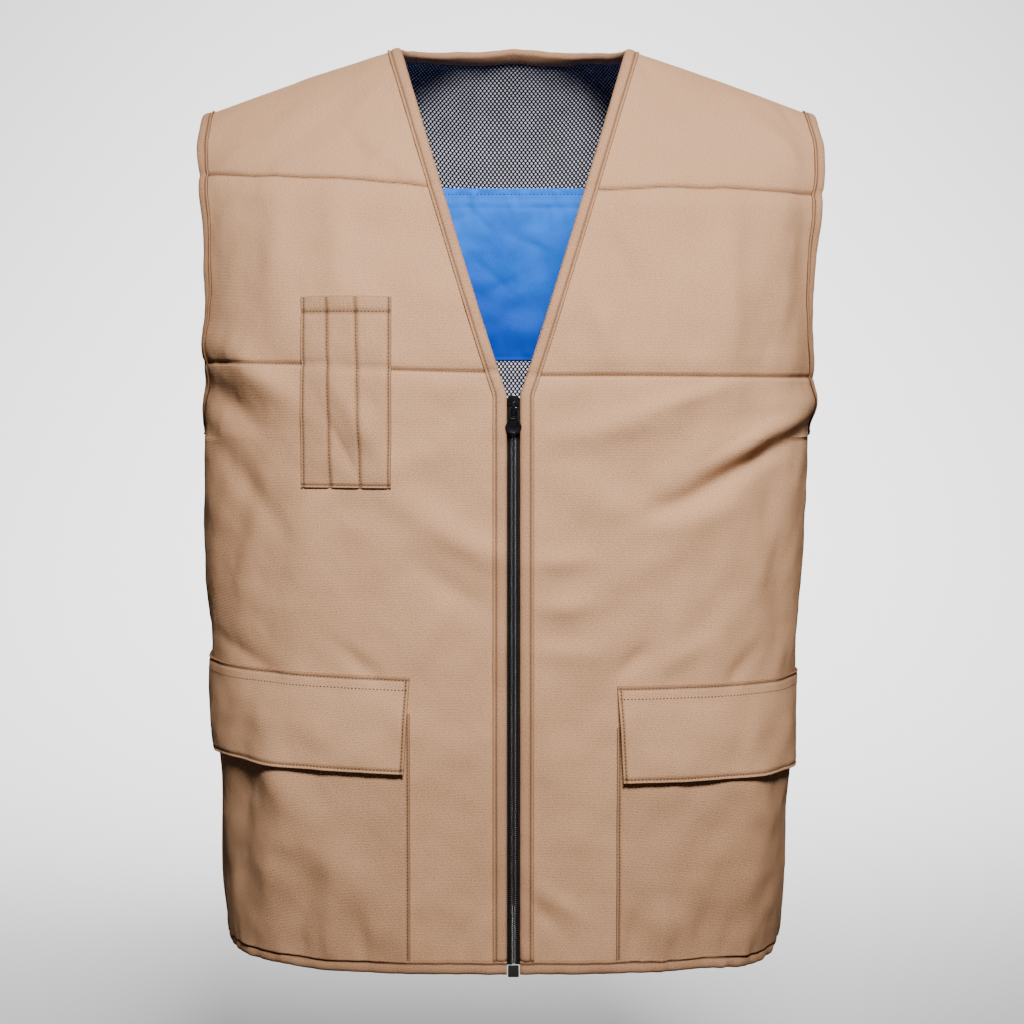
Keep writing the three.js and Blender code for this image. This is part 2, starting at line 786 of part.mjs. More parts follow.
function backLayer(low, high) {
  const mirrored = strips.backLeft.map((pair) => [pair[1], pair[0]]);
  return clothSolid([backCloth.grid, strips.backRight, mirrored, [neckTop, neckCurve]], low, high);
}

// Stations of the armhole binding, up the front and down the back
function armholeBinding(frontStrip, backStrip) {
  const up = frontStrip.map(([edge, inner]) => ({ edge, inner }));
  const down = backStrip.slice(1, -1).reverse().map(([edge, inner]) => ({ edge, inner }));
  return bindingSolid([...up, ...down], true);
}

function neckBinding() {
  const frontStations = (grid) => grid.slice(1).map((line) => {
    const last = line.length - 1;
    return { edge: line[last], inner: line[last - 1] };
  });
  const round = neckCurve.map((edge, k) => ({ edge, inner: neckTop[k] })).slice(1, -1);
  const stations = [
    ...frontStations(rightRows.grid),
    ...round,
    ...frontStations(leftRows.grid).reverse(),
  ];
  return bindingSolid(stations, false);
}

// The vertex a little past the last of a line, on the same straight run
function pastEnd(last, before, distance) {
  const point = last.point.clone().sub(before.point).setLength(distance).add(last.point);
  return { point, normal: last.normal, lift: last.lift };
}

function hemBinding() {
  const stations = (grid) => grid[0].map((edge, j) => ({ edge, inner: grid[1][j] }));
  const run = (grid) => {
    const list = stations(grid);
    const last = list[list.length - 1];
    const before = list[list.length - 2];
    const past = openingHalfWidth - zipGapHalf;
    list.push({
      edge: pastEnd(last.edge, before.edge, past),
      inner: pastEnd(last.inner, before.inner, past),
    });
    return list;
  };
  const rightRun = run(rightRows.grid).reverse();
  const leftRun = run(leftRows.grid);
  return bindingSolid([...rightRun, ...stations(backCloth.grid).slice(1, -1), ...leftRun], false);
}

// Upright run beside the centre line of the front, between two distances from it
function centreRun(hand, from, to, bottom, top, low, high) {
  const heights = evenSteps([bottom, sliderTop - sliderLength, top], clothPitch);
  const grid = heights.map((height) => (
    [from, to].map((x) => vertexAcross(front, hand, levelOf(height), x))
  ));
  return clothSolid([grid], low, high);
}

function centreFront(height) {
  return offsetPoint(vertexAcross(front, right, levelOf(height), 0), 0).y;
}

// A flat outline in X and Z, given thickness from one Y to another
function standingPlate(shape, nearY, farY) {
  const geometry = new THREE.ExtrudeGeometry(shape, {
    depth: farY - nearY,
    bevelEnabled: false,
    curveSegments: 5,
  });
  geometry.rotateX(quarterTurn);
  geometry.translate(0, farY, 0);
  return geometry;
}

function toManifold(geometry) {
  const bare = geometry.clone();
  bare.deleteAttribute('normal');
  bare.deleteAttribute('uv');
  const merged = mergeVertices(bare, 0.001);
  return new wasm.Manifold(new wasm.Mesh({
    numProp: 3,
    vertProperties: new Float32Array(merged.attributes.position.array),
    triVerts: new Uint32Array(merged.index.array),
  }));
}

function fromManifold(solid) {
  const mesh = solid.getMesh();
  const geometry = new THREE.BufferGeometry();
  geometry.setAttribute('position', new THREE.BufferAttribute(mesh.vertProperties, 3));
  geometry.setIndex(new THREE.BufferAttribute(mesh.triVerts, 1));
  return geometry;
}

const sliderTop = zipHeight + clearance;
const sliderMiddle = sliderTop - sliderLength / 2;
const coilTop = sliderTop - sliderPostLength - clearance;
const coilBottom = retainerRise + clearance - hemDip;
const sliderY = centreFront(sliderMiddle);
const plateBack = sliderY - coilOut - clearance;
const plateFront = plateBack - sliderPlate;
const hingeY = sliderY - bindingOutHigh - pullStandoff - pullWall / 2;
const bridgeInside = hingeY - pullBar / 2 - pullGap;
const bridgeOutside = bridgeInside - bridgeWall;
const hingeHeight = sliderMiddle;

// Outline of the slider's plates, wide at the shoulders and narrow at the tail
function sliderOutline() {
  const half = sliderLength / 2;
  const shape = new THREE.Shape();
  shape.moveTo(-sliderHalfWidth, sliderMiddle + half - sliderTailHalfWidth);
  shape.lineTo(-sliderTailHalfWidth, sliderMiddle - half + 1);
  shape.quadraticCurveTo(0, sliderMiddle - half - 1, sliderTailHalfWidth, sliderMiddle - half + 1);
  shape.lineTo(sliderHalfWidth, sliderMiddle + half - sliderTailHalfWidth);
  shape.quadraticCurveTo(0, sliderMiddle + half + sliderTailHalfWidth,
    -sliderHalfWidth, sliderMiddle + half - sliderTailHalfWidth);
  return shape;
}

function zipSlider() {
  const deepIn = sliderY - tapeIn + clearance;
  const backPlate = toManifold(standingPlate(sliderOutline(), deepIn, deepIn + sliderPlate));
  const frontPlate = toManifold(standingPlate(sliderOutline(), plateFront, plateBack));
  const postDepth = deepIn - plateBack + 2 * clearance;
  const post = new THREE.BoxGeometry(sliderPost, postDepth, sliderPostLength - clearance);
  post.translate(0, (deepIn + plateBack) / 2, sliderTop - sliderPostLength / 2);
  const outer = new THREE.BoxGeometry(bridgeWidth, plateFront - bridgeOutside + clearance, bridgeLength);
  outer.translate(0, (plateFront + clearance + bridgeOutside) / 2, hingeHeight);
  const hollow = new THREE.BoxGeometry(
    bridgeWidth + 2, plateFront - bridgeInside, bridgeLength - 2 * bridgeWall);
  hollow.translate(0, (plateFront + bridgeInside) / 2, hingeHeight);
  const bridge = toManifold(outer).subtract(toManifold(hollow));
  return fromManifold(backPlate.add(frontPlate).add(toManifold(post)).add(bridge));
}

// Pull tab with a window round the bridge, hanging down from its hinge
function zipPull() {
  const windowHalf = bridgeWidth / 2 + pullGap;
  const top = hingeHeight + pullBar / 2;
  const windowTop = hingeHeight - pullBar / 2;
  const windowBottom = windowTop - pullWindow;
  const neckBottom = windowBottom - pullBar;
  const end = hingeHeight - pullLength;
  const shape = new THREE.Shape();
  shape.moveTo(-pullNeckHalf, top);
  shape.lineTo(-pullNeckHalf, neckBottom);
  shape.lineTo(-pullEndHalf, end + pullEndHalf);
  shape.quadraticCurveTo(-pullEndHalf, end, 0, end);
  shape.quadraticCurveTo(pullEndHalf, end, pullEndHalf, end + pullEndHalf);
  shape.lineTo(pullNeckHalf, neckBottom);
  shape.lineTo(pullNeckHalf, top);
  const window = new THREE.Path();
  window.moveTo(-windowHalf, windowTop);
  window.lineTo(windowHalf, windowTop);
  window.lineTo(windowHalf, windowBottom);
  window.lineTo(-windowHalf, windowBottom);
  shape.holes.push(window);
  return standingPlate(shape, hingeY - pullWall / 2, hingeY + pullWall / 2);
}

function zipRetainer() {
  const y = centreFront(-hemDip);
  const near = y - coilOut - retainerProud;
  const far = y - tapeIn;
  const box = new THREE.BoxGeometry(2 * retainerHalfWidth, far - near, retainerDrop + retainerRise);
  box.translate(0, (near + far) / 2, (retainerRise - retainerDrop) / 2 - hemDip);
  return box;
}

const finishes = {
  shell: { color: 0xc9ad97, roughness: 0.82, metalness: 0 },
  pocket: { color: 0xb79984, roughness: 0.84, metalness: 0 },
  binding: { color: 0xb79882, roughness: 0.86, metalness: 0 },
  lining: { color: 0x2b2b33, roughness: 0.9, metalness: 0 },
  cooling: { color: 0x4f8cdb, roughness: 0.7, metalness: 0 },
  tape: { color: 0x2d2927, roughness: 0.9, metalness: 0 },
  coil: { color: 0x35302e, roughness: 0.5, metalness: 0 },
  slider: { color: 0x3b3938, roughness: 0.4, metalness: 0.6 },
};

const vest = new THREE.Group();

function addPiece(name, geometry, finish) {
  const mesh = new THREE.Mesh(geometry, new THREE.MeshStandardMaterial(finishes[finish]));
  mesh.name = name;
  vest.add(mesh);
}

addPiece('front_panel_right', frontPanel(rightRows, strips.frontRight), 'shell');
addPiece('front_panel_left', frontPanel(leftRows, strips.frontLeft), 'shell');
addPiece('back_panel', backLayer(0, shellOut), 'shell');
addPiece('back_lining', backLayer(liningIn, liningOut), 'lining');
addPiece('cooling_panel', coolingPanel(backCloth), 'cooling');
addPiece('neck_binding', neckBinding(), 'binding');
addPiece('armhole_binding_right', armholeBinding(strips.frontRight, strips.backRight), 'binding');
addPiece('armhole_binding_left', armholeBinding(strips.frontLeft, strips.backLeft), 'binding');
addPiece('hem_binding', hemBinding(), 'binding');
addPiece('pen_pocket', penPocket(rightRows), 'pocket');

const rightHip = hipPocket(rightRows, flapTopRight);
const leftHip = hipPocket(leftRows, flapTopLeft);
addPiece('lower_pocket_right', rightHip.pocket, 'pocket');
addPiece('lower_pocket_left', leftHip.pocket, 'pocket');
addPiece('pocket_flap_right', rightHip.flap, 'pocket');
addPiece('pocket_flap_left', leftHip.flap, 'pocket');

for (const hand of [right, left]) {
  const tape = centreRun(hand, tapeFront, tapeFront + tapeWidth, coilBottom, coilTop, tapeIn, tapeOut);
  const coil = centreRun(hand, coilSplit, coilHalfWidth, coilBottom, coilTop, coilIn, coilOut);
  addPiece(`zip_tape_${hand.name}`, tape, 'tape');
  addPiece(`zip_coil_${hand.name}`, coil, 'coil');
}
addPiece('zip_slider', zipSlider(), 'slider');
addPiece('zip_pull', zipPull(), 'slider');
addPiece('zip_retainer', zipRetainer(), 'coil');

vest.position.set(0, -shoulderSet, -seatHeight);

export default vest;
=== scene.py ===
import math

import bmesh
import bpy
import numpy as np
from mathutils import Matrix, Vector


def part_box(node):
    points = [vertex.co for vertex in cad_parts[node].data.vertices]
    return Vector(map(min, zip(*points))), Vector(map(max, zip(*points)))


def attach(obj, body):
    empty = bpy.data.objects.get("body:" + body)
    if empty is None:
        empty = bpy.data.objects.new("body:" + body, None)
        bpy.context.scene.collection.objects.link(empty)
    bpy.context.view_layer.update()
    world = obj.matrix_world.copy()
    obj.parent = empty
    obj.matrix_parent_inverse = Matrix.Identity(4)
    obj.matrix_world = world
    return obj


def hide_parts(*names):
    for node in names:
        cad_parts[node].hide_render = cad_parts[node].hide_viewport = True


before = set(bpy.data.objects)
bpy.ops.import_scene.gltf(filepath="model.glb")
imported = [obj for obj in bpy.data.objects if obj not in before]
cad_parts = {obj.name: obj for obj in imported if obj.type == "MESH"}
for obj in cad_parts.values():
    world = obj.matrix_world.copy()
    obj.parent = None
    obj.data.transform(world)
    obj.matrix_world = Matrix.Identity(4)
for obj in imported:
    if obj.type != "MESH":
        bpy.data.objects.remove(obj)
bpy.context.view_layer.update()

# Sizes in millimetres, laid out with the hem at zero as the CAD lays them out
front, back = -1, 1
right, left = -1, 1
torso = {
    "sideSeam": 385, "halfRight": 232, "halfLeft": 230, "frontDepth": 128, "backDepth": 125,
    "fullness": 2.8, "armholeHeight": 227, "armholeReach": 58, "armholeTurn": math.radians(34),
    "shoulderRise": 68.5, "shoulderSet": 5, "shoulderBow": 1.2, "yokeEase": 0.5, "seatHeight": 650,
    "hemDip": 6.4, "hemBow": 4.6, "cornerDrop": 5.5, "cornerAt": 0.92, "cornerHalf": 0.15,
    "cornerFade": 130, "settleRise": 30, "seamGap": 0.4, "bindingWidth": 9, "bandAcross": 0.95,
    "bandEase": 1.3, "bandSlope": 0.31,
}
neck = {
    "halfWidth": 84, "backReach": 67, "bow": 0.97, "zipHeight": 408, "openingHalf": 5.7,
}
layers = {
    "shellOut": 2.2, "liningOut": -0.3, "liningIn": -1.3, "coolingOut": -1.6,
    "pocketLow": 2.4, "pocketWall": 1.5, "flapWall": 1.8, "tapeOut": -2.7, "tapeIn": -3.3,
}
bandLow = torso["sideSeam"] - torso["bindingWidth"]
armholeHalf = torso["armholeHeight"] / 2
armholeMiddle = torso["sideSeam"] + armholeHalf
bothSides = ((right, "right"), (left, "left"))


def table(names, rows):
    return {name: np.array(column, float) for name, column in zip(names, zip(*rows))}


torsoSections = table(("at", "right", "left", "front", "back"), [
    (0.00, 0.906, 0.841, 0.925, 0.92),
    (0.12, 0.930, 0.869, 0.950, 0.90),
    (0.32, 0.931, 0.876, 0.980, 0.89),
    (0.56, 0.962, 0.907, 0.995, 0.90),
    (0.76, 0.983, 0.930, 1.000, 0.93),
    (1.00, 0.983, 0.948, 1.000, 0.97),
])
yokeSections = table(("at", "right", "left", "front", "back"), [
    (0.000, 0.983, 0.948, 1.000, 0.97),
    (0.330, 0.967, 0.948, 0.995, 1.00),
    (0.444, 0.961, 0.953, 0.970, 1.00),
    (0.544, 0.967, 0.965, 0.896, 0.98),
    (0.633, 0.977, 0.974, 0.790, 0.94),
    (0.717, 0.988, 0.985, 0.590, 0.87),
    (0.789, 0.995, 0.990, 0.383, 0.77),
    (0.856, 0.994, 0.980, 0.220, 0.64),
    (0.922, 0.994, 0.975, 0.100, 0.43),
    (1.000, 0.992, 0.970, 0.000, 0.00),
])

# Folds of the cloth: place and size in millimetres, lean in degrees from level, height outwards.
# A sharp fold falls off as a crease does, a soft one as a swell does.
frontFolds = table(("x", "z", "lean", "reach", "spread", "lift", "sharp"), [
    (-208, 404, -38, 38, 11, -2.7, 0), (-182, 422, -40, 36, 12, 2.6, 0), (-107, 386, -58, 33, 10, 1.9, 0),
    (-121, 372, -62, 26, 5, -1.3, 1), (-169, 517, 90, 40, 12, 1.9, 0), (-125, 520, 90, 36, 11, 1.6, 0),
    (-116, 590, -55, 12, 4, -1.1, 1), (-84, 573, -40, 26, 6, 1.1, 0), (-30, 300, -26, 34, 11, 1.8, 0),
    (-46, 272, -34, 30, 9, -1.2, 0), (-150, 300, 80, 60, 13, 1.4, 0), (-192, 345, -52, 44, 9, -1.5, 0),
    (-196, 222, -28, 26, 6, -1.4, 1), (-112, 219, -40, 20, 6, -1.2, 0), (-60, 236, 62, 28, 9, 1.1, 0),
    (-202, 300, 78, 60, 10, -1.7, 0), (153, 482, 90, 62, 13, 2.5, 0), (213, 505, 88, 58, 11, -2.2, 0),
    (203, 610, -60, 16, 5, -1.2, 1), (196, 588, -48, 20, 6, 1.2, 0), (63, 459, -72, 26, 10, 1.7, 0),
    (75, 504, -64, 20, 6, -0.9, 0), (176, 379, 27, 50, 10, 3.6, 0), (166, 357, 30, 44, 7, -2.6, 0),
    (196, 402, 10, 22, 7, 0.9, 0), (150, 372, 32, 26, 3.5, -1.3, 1), (82, 388, 14, 48, 11, 1.9, 0),
    (120, 405, 16, 34, 6, 1.2, 0), (130, 321, 19, 28, 10, 1.7, 0), (112, 330, 20, 30, 7, -1.2, 0),
    (-95, 352, 22, 60, 12, 1.0, 0), (-62, 322, -30, 50, 12, 0.9, 0), (-152, 332, 36, 42, 10, -0.9, 0),
    (100, 292, 30, 60, 12, 1.0, 0), (142, 252, 54, 50, 12, -0.9, 0), (62, 334, -24, 50, 14, 0.8, 0),
    (182, 300, 76, 50, 10, 0.8, 0), (37, 257, 2, 20, 8, 1.4, 0), (34, 290, 3, 22, 8, 1.3, 0),
    (40, 225, -2, 24, 8, 1.2, 0), (85, 218, 42, 16, 6, -1.4, 0), (163, 212, 55, 18, 6, -1.4, 0),
    (120, 222, 30, 20, 8, 1.2, 0), (187, 300, 96, 70, 11, -1.6, 0), (150, 250, 84, 46, 12, 1.4, 0),
    (-130, 26, 90, 24, 9, 1.8, 0), (-108, 20, 96, 20, 5, -1.3, 0), (107, 26, 90, 24, 9, 1.8, 0),
    (86, 22, 84, 20, 5, -1.3, 0), (135, 20, 96, 22, 6, -1.2, 0), (24, 34, -48, 18, 4, -1.3, 1),
    (34, 44, -36, 18, 6, 1.0, 0), (-33, 26, 66, 16, 4, -1.0, 1), (-196, 110, 82, 70, 14, -2.2, 0),
    (-168, 96, 84, 60, 13, 1.4, 0), (-150, 40, 74, 34, 8, -1.4, 0), (170, 104, 96, 60, 14, 1.2, 0),
    (192, 90, 98, 60, 10, -1.3, 0), (-24, 130, 84, 60, 12, 0.9, 0), (-165, 648, -18, 74, 26, 0.6, 0),
    (180, 645, 18, 70, 26, 0.5, 0), (28, 150, 97, 70, 12, 0.9, 0), (-132, 79, -56, 74, 21, 1.9, 0),
    (-202, 92, 86, 84, 19, -1.8, 0), (178, 92, 84, 74, 16, 1.2, 0), (-52, 520, 60, 40, 12, 1.2, 0),
    (112, 560, 80, 40, 14, 1.2, 0),
])
backFolds = table(("x", "z", "lean", "reach", "spread", "lift", "sharp"), [
    (-165, 648, -18, 74, 26, 0.6, 0), (180, 645, 18, 70, 26, 0.5, 0), (0, 345, 90, 144, 31, -1.8, 0),
    (-128, 367, 32, 60, 16, 2.2, 0), (134, 352, -28, 60, 16, 2.2, 0), (-111, 122, 80, 54, 13, 2.0, 0),
    (97, 110, 97, 54, 13, 2.0, 0), (-150, 420, -34, 50, 10, -2.0, 0), (160, 414, 36, 50, 10, -2.0, 0),
    (-40, 200, 24, 46, 12, 1.6, 0), (52, 232, -20, 44, 12, 1.6, 0), (-170, 250, 70, 50, 10, -1.6, 0),
    (172, 226, 108, 50, 10, -1.6, 0), (20, 100, 86, 50, 14, 1.4, 0),
])

# Stitched lines across the chest, as heights at distances from the centre line
chestLines = [
    {"x": (-222, -181, -147, -106, -61, 0, 68, 120, 168, 224), "z": (567, 565, 563, 561, 556, 555, 554, 555, 555, 553),
     "depth": 1.5, "start": {"right": 64, "left": 62}, "end": 214},
    {"x": (-223, -154, -88, -10, 10, 90, 160, 222), "z": (431, 430, 426, 424, 422, 422, 421, 420),
     "depth": 1.3, "start": {"right": 18, "left": 18}, "end": 206},
]
quilt = {
    "half": 1.5, "dip": 0.5, "dipHalf": 6, "puff": 0.9, "puffAt": 12, "puffHalf": 13, "shade": 0.8, "shadeHalf": 1.1,
}
surfaceWaves = {
    "foldScale": 2.15, "height": 0.42, "fineHeight": 0.1, "hemHeight": 0.3, "hemFade": 20, "seamCalm": 16,
}


def smoothstep(low, high, at):
    t = np.clip((at - low) / (high - low), 0, 1)
    return t * t * (3 - 2 * t)


def readTable(columns, name, at):
    keys, values = columns["at"], columns[name]
    last = len(keys) - 1
    slopes = np.array([
        (values[min(k + 1, last)] - values[max(k - 1, 0)]) / (keys[min(k + 1, last)] - keys[max(k - 1, 0)])
        for k in range(last + 1)
    ])
    held = np.clip(at, keys[0], keys[last])
    k = np.clip(np.searchsorted(keys, held) - 1, 0, last - 1)
    span = keys[k + 1] - keys[k]
    t = (held - keys[k]) / span
    ease = t * t * (3 - 2 * t)
    ends = t * (1 - t) ** 2 * span * slopes[k] + t * t * (t - 1) * span * slopes[k + 1]
    return values[k] * (1 - ease) + values[k + 1] * ease + ends


def stacked(x, y, z):
    return np.stack(np.broadcast_arrays(x, y, z), axis=-1).astype(float)


def unit(v):
    return v / np.maximum(np.linalg.norm(v, axis=-1, keepdims=True), 1e-12)


def halfWidth(hand, columns, at):
    wide = torso["halfRight"] * readTable(columns, "right", at)
    return np.where(hand < 0, wide, torso["halfLeft"] * readTable(columns, "left", at))


# Under the arm the rows lie close together, and there the yoke's table is read slowly
def yokeKey(swing):
    share = swing / np.pi
    t = np.minimum(1, share / torso["yokeEase"])
    return np.where(t < 1, torso["yokeEase"] * t * t * (2 - t), share)


# How far the front hem hangs below the side seams, fading up the front
def hemDrop(height):
    return torso["hemDip"] * np.maximum(0, 1 - height / torso["sideSeam"]) ** 3


def armholeEdge(face, hand, swing):
    key = yokeKey(swing)
    x = hand * halfWidth(hand, yokeSections, key)
    y = torso["shoulderSet"] * key + face * torso["armholeReach"] * np.sin(swing)
    return stacked(x, y, armholeMiddle - armholeHalf * np.cos(swing))


def bandDirection(face, hand, swing):
    down = np.maximum(0, np.cos(swing))
    up = torso["bandSlope"] * np.maximum(0, -np.cos(swing))
    across = torso["bandAcross"] * np.sin(swing / 2) ** torso["bandEase"]
    along = np.sqrt(np.maximum(0, 1 - across ** 2 - (up - down) ** 2))
    return stacked(-hand * across, face * along, up - down)


# Level rows of the cloth: levels 0 to 1 climb the side seam, 1 to 2 swing round the armhole
def clothRow(face, hand, level):
    level = np.asarray(level, float)
    share = np.maximum(0, level - 1)
    swing = np.pi * share
    key = yokeKey(swing)
    name = "front" if face == front else "back"
    depth = torso[name + "Depth"]
    height = bandLow * np.minimum(level, 1)
    rise = height / torso["sideSeam"]
    edge = armholeEdge(face, hand, swing) + bandDirection(face, hand, swing) * torso["bindingWidth"]
    body = level <= 1
    climb = torso["shoulderRise"] * smoothstep(0.5, 1, share)
    yokeDepth = torso["shoulderSet"] * key + face * depth * readTable(yokeSections, name, key)
    centreY = np.where(body, face * depth * readTable(torsoSections, name, rise), yokeDepth)
    edgeY = np.where(body, 0, edge[..., 1])
    low = np.minimum(swing, np.pi / 2)
    drawn = np.pi / 2 - torso["armholeTurn"] * np.sin(low) ** 2
    edgeShare = np.clip(np.abs(edgeY) / np.maximum(np.abs(centreY), 1), 0, 1)
    plain = np.arccos(edgeShare ** (torso["fullness"] / 2))
    turnEnd = plain + (drawn - plain) * smoothstep(0, np.pi / 2, low)
    drop = hemDrop(height) if face == front else 0 * height
    corner = np.where(hand > 0, torso["cornerDrop"], 0) * np.maximum(0, 1 - height / torso["cornerFade"]) ** 2
    return {
        "face": face, "hand": hand, "turnEnd": turnEnd,
        "bow": np.where(body, torso["hemBow"], torso["shoulderBow"]),
        "edgeX": np.where(body, halfWidth(hand, torsoSections, rise), np.abs(edge[..., 0])),
        "edgeY": edgeY,
        "edgeZ": np.where(body, height, edge[..., 2]),
        "centreZ": np.where(body, height - drop, edge[..., 2] + climb),
        "centreY": centreY,
        "corner": corner * body,
        "sineEnd": np.sin(turnEnd) ** (2 / torso["fullness"]),
        "cosineEnd": np.maximum(0, np.cos(turnEnd)) ** (2 / torso["fullness"]),
        "settle": np.where(body, 0, 1 - smoothstep(0, torso["settleRise"], edge[..., 2] - bandLow)),
        "plainX": halfWidth(hand, torsoSections, bandLow / torso["sideSeam"]) + 0 * level,
        "plainY": face * depth * readTable(torsoSections, name, bandLow / torso["sideSeam"]) + 0 * level,
    }


def heightAt(row, x):
    reach = x / row["edgeX"]
    corner = row["corner"] * np.exp(-((reach - torso["cornerAt"]) / torso["cornerHalf"]) ** 2)
    return row["centreZ"] + (row["edgeZ"] - row["centreZ"]) * reach ** row["bow"] - corner


def shareAt(row, x):
    sine = np.clip(x / row["edgeX"] * row["sineEnd"], 0, 1)
    return np.arcsin(sine ** (torso["fullness"] / 2)) / row["turnEnd"]


def pointAt(row, share):
    turn = np.clip(share, 0, 1) * row["turnEnd"]
    sine = np.sin(turn) ** (2 / torso["fullness"])
    cosine = np.maximum(0, np.cos(turn)) ** (2 / torso["fullness"])
    x = row["edgeX"] * sine / row["sineEnd"]
    inward = (cosine - row["cosineEnd"]) / (1 - row["cosineEnd"])
    y = row["edgeY"] + (row["centreY"] - row["edgeY"]) * inward + row["face"] * torso["seamGap"] / 2
    # just above the side seam the cloth carries on as it was below the armhole
    plain = row["plainY"] * (1 - np.minimum(1, x / row["plainX"]) ** torso["fullness"]) ** (1 / torso["fullness"])
    settle = row["settle"] * (1 - smoothstep(0.9, 0.99, x / row["edgeX"]))
    y = y + (plain + row["face"] * torso["seamGap"] / 2 - y) * settle
    return stacked(row["hand"] * x, y, heightAt(row, x))


def levelOf(height, face=back):
    side = height
    for _ in range(8 if face == front else 0):
        side = height + hemDrop(side)
    reach = armholeHalf + torso["bindingWidth"]
    above = 1 + np.arccos(np.clip((armholeMiddle - height) / reach, -1, 1)) / np.pi
    return np.where(height <= bandLow, side / bandLow, above)


# The level whose row passes a height at a distance from the centre line
def levelAt(face, hand, height, x):
    low, high = 0 * (height + x), 2 + 0 * (height + x)
    for _ in range(26):
        level = (low + high) / 2
        row = clothRow(face, hand, level)
        under = heightAt(row, np.minimum(x, row["edgeX"])) < height
        low, high = np.where(under, level, low), np.where(under, high, level)
    return level


def openingOf(row):
    top = clothRow(row["face"], row["hand"], 2)
    neckPoint = heightAt(top, neck["halfWidth"])
    x = neck["openingHalf"] + 0 * row["edgeX"]
    for _ in range(12):
        climb = (heightAt(row, x) - neck["zipHeight"]) / (neckPoint - neck["zipHeight"])
        x = neck["openingHalf"] + (neck["halfWidth"] - neck["openingHalf"]) * np.clip(climb, 0, 1) ** neck["bow"]
    return x


# A few cosine waves in random directions, for the slight unevenness of cloth
def waves(seed, shortest, longest, count=26, lean=None):
    pick = np.random.default_rng(seed)
    lengths = np.exp(pick.uniform(math.log(shortest), math.log(longest), count))
    angles = pick.uniform(0, math.pi, count) if lean is None else math.radians(lean) + pick.normal(0, 0.25, count)
    phases = pick.uniform(0, 2 * math.pi, count)
    sizes = lengths / longest
    total = math.sqrt((sizes ** 2).sum() / 2)

    def height(x, z):
        lift = 0 * x
        for length, angle, phase, size in zip(lengths, angles, phases, sizes):
            lift = lift + size * np.cos(2 * np.pi * (x * math.cos(angle) + z * math.sin(angle)) / length + phase)
        return lift / total
    return height


broadWaves = waves(3, 26, 90)
fineWaves = waves(5, 9, 24)
hemWaves = waves(8, 11, 34, lean=0)


def spreadOut(face, point):
    x, y = point[..., 0], point[..., 1]
    depth = torso["frontDepth"] if face == front else torso["backDepth"]
    return np.sign(x) * (np.abs(x) + np.maximum(0, depth - np.abs(y)) * smoothstep(30, 130, np.abs(x)))


def foldsAt(folds, x, z):
    lift = 0 * x
    for k in range(len(folds["x"])):
        lean = math.radians(folds["lean"][k])
        dx, dz = x - folds["x"][k], z - folds["z"][k]
        along = (dx * math.cos(lean) + dz * math.sin(lean)) / folds["reach"][k]
        aside = (dz * math.cos(lean) - dx * math.sin(lean)) / folds["spread"][k]
        across = np.sqrt(aside ** 2 + 0.02) if folds["sharp"][k] else aside ** 2
        lift = lift + folds["lift"][k] * np.exp(-across - along ** 2)
    return lift


def chestHeight(line, x):
    return np.interp(x, line["x"], line["z"])


# Painted shade along the stitched chest lines, kept in the crease attribute
def chestPaintedShade(point):
    crease = 0 * point[..., 0]
    for line in chestLines:
        away = point[..., 2] - chestHeight(line, point[..., 0])
        crease = np.maximum(crease, quilt["shade"] * np.exp(-(away / quilt["shadeHalf"]) ** 2))
    return crease


def reliefAt(face, point):
    x, y, z = point[..., 0], point[..., 1], point[..., 2]
    s = spreadOut(face, point)
    lift = surfaceWaves["foldScale"] * foldsAt(frontFolds if face == front else backFolds, x, z)
    lift = lift + surfaceWaves["height"] * broadWaves(s, z) + surfaceWaves["fineHeight"] * fineWaves(s, z)
    lift = lift + surfaceWaves["hemHeight"] * np.exp(-z / surfaceWaves["hemFade"]) * hemWaves(s, z)
    for line in chestLines:
        away = z - chestHeight(line, x)
        lift = lift - line["depth"] * np.exp(-(away / quilt["half"]) ** 2)
        lift = lift - quilt["dip"] * np.exp(-(away / quilt["dipHalf"]) ** 2)
        lift = lift + quilt["puff"] * np.exp(-((np.abs(away) - quilt["puffAt"]) / quilt["puffHalf"]) ** 2)
    return lift * smoothstep(0, surfaceWaves["seamCalm"], np.abs(y))


# Cloth is kept as places on the middle surface, outward directions and heights of the relief
def surface(face, hand, level, share):
    level, share, hand = np.broadcast_arrays(
        np.asarray(level, float), np.asarray(share, float), np.asarray(hand, float))
    step, climb, centreFade = 0.001, 2.5, 8
    row = clothRow(face, hand, level)
    point = pointAt(row, share)
    x = np.abs(point[..., 0])
    swing = np.pi * np.maximum(0, level - 1)
    aboveArm = armholeMiddle - (armholeHalf + torso["bindingWidth"]) * np.cos(swing)
    height = np.where(level < 1, level * bandLow, aboveArm)
    below = clothRow(face, hand, levelOf(np.maximum(0, height - climb)))
    above = clothRow(face, hand, levelOf(height + climb))
    across = pointAt(row, share + step) - pointAt(row, share - step)
    up = pointAt(above, shareAt(above, x)) - pointAt(below, shareAt(below, x))
    normal = np.cross(across, up) * (-hand * face)[..., None]
    normal[..., 0] = normal[..., 0] * smoothstep(0, centreFade, x)
    return {"point": point, "normal": unit(normal), "lift": reliefAt(face, point)}


def surfaceAcross(face, hand, level, x):
    return surface(face, hand, level, shareAt(clothRow(face, hand, level), x))


def armholeLine(face, hand, level):
    swing = np.pi * (level - 1)
    step = np.pi * 0.001
    before = armholeEdge(face, hand, np.maximum(0, swing - step))
    after = armholeEdge(face, hand, np.minimum(np.pi, swing + step))
    normal = unit(np.cross(after - before, bandDirection(face, hand, swing)) * -hand * face)
    point = armholeEdge(face, hand, swing)
    point[..., 1] += face * torso["seamGap"] / 2
    return {"point": point, "normal": normal, "lift": reliefAt(face, point)}


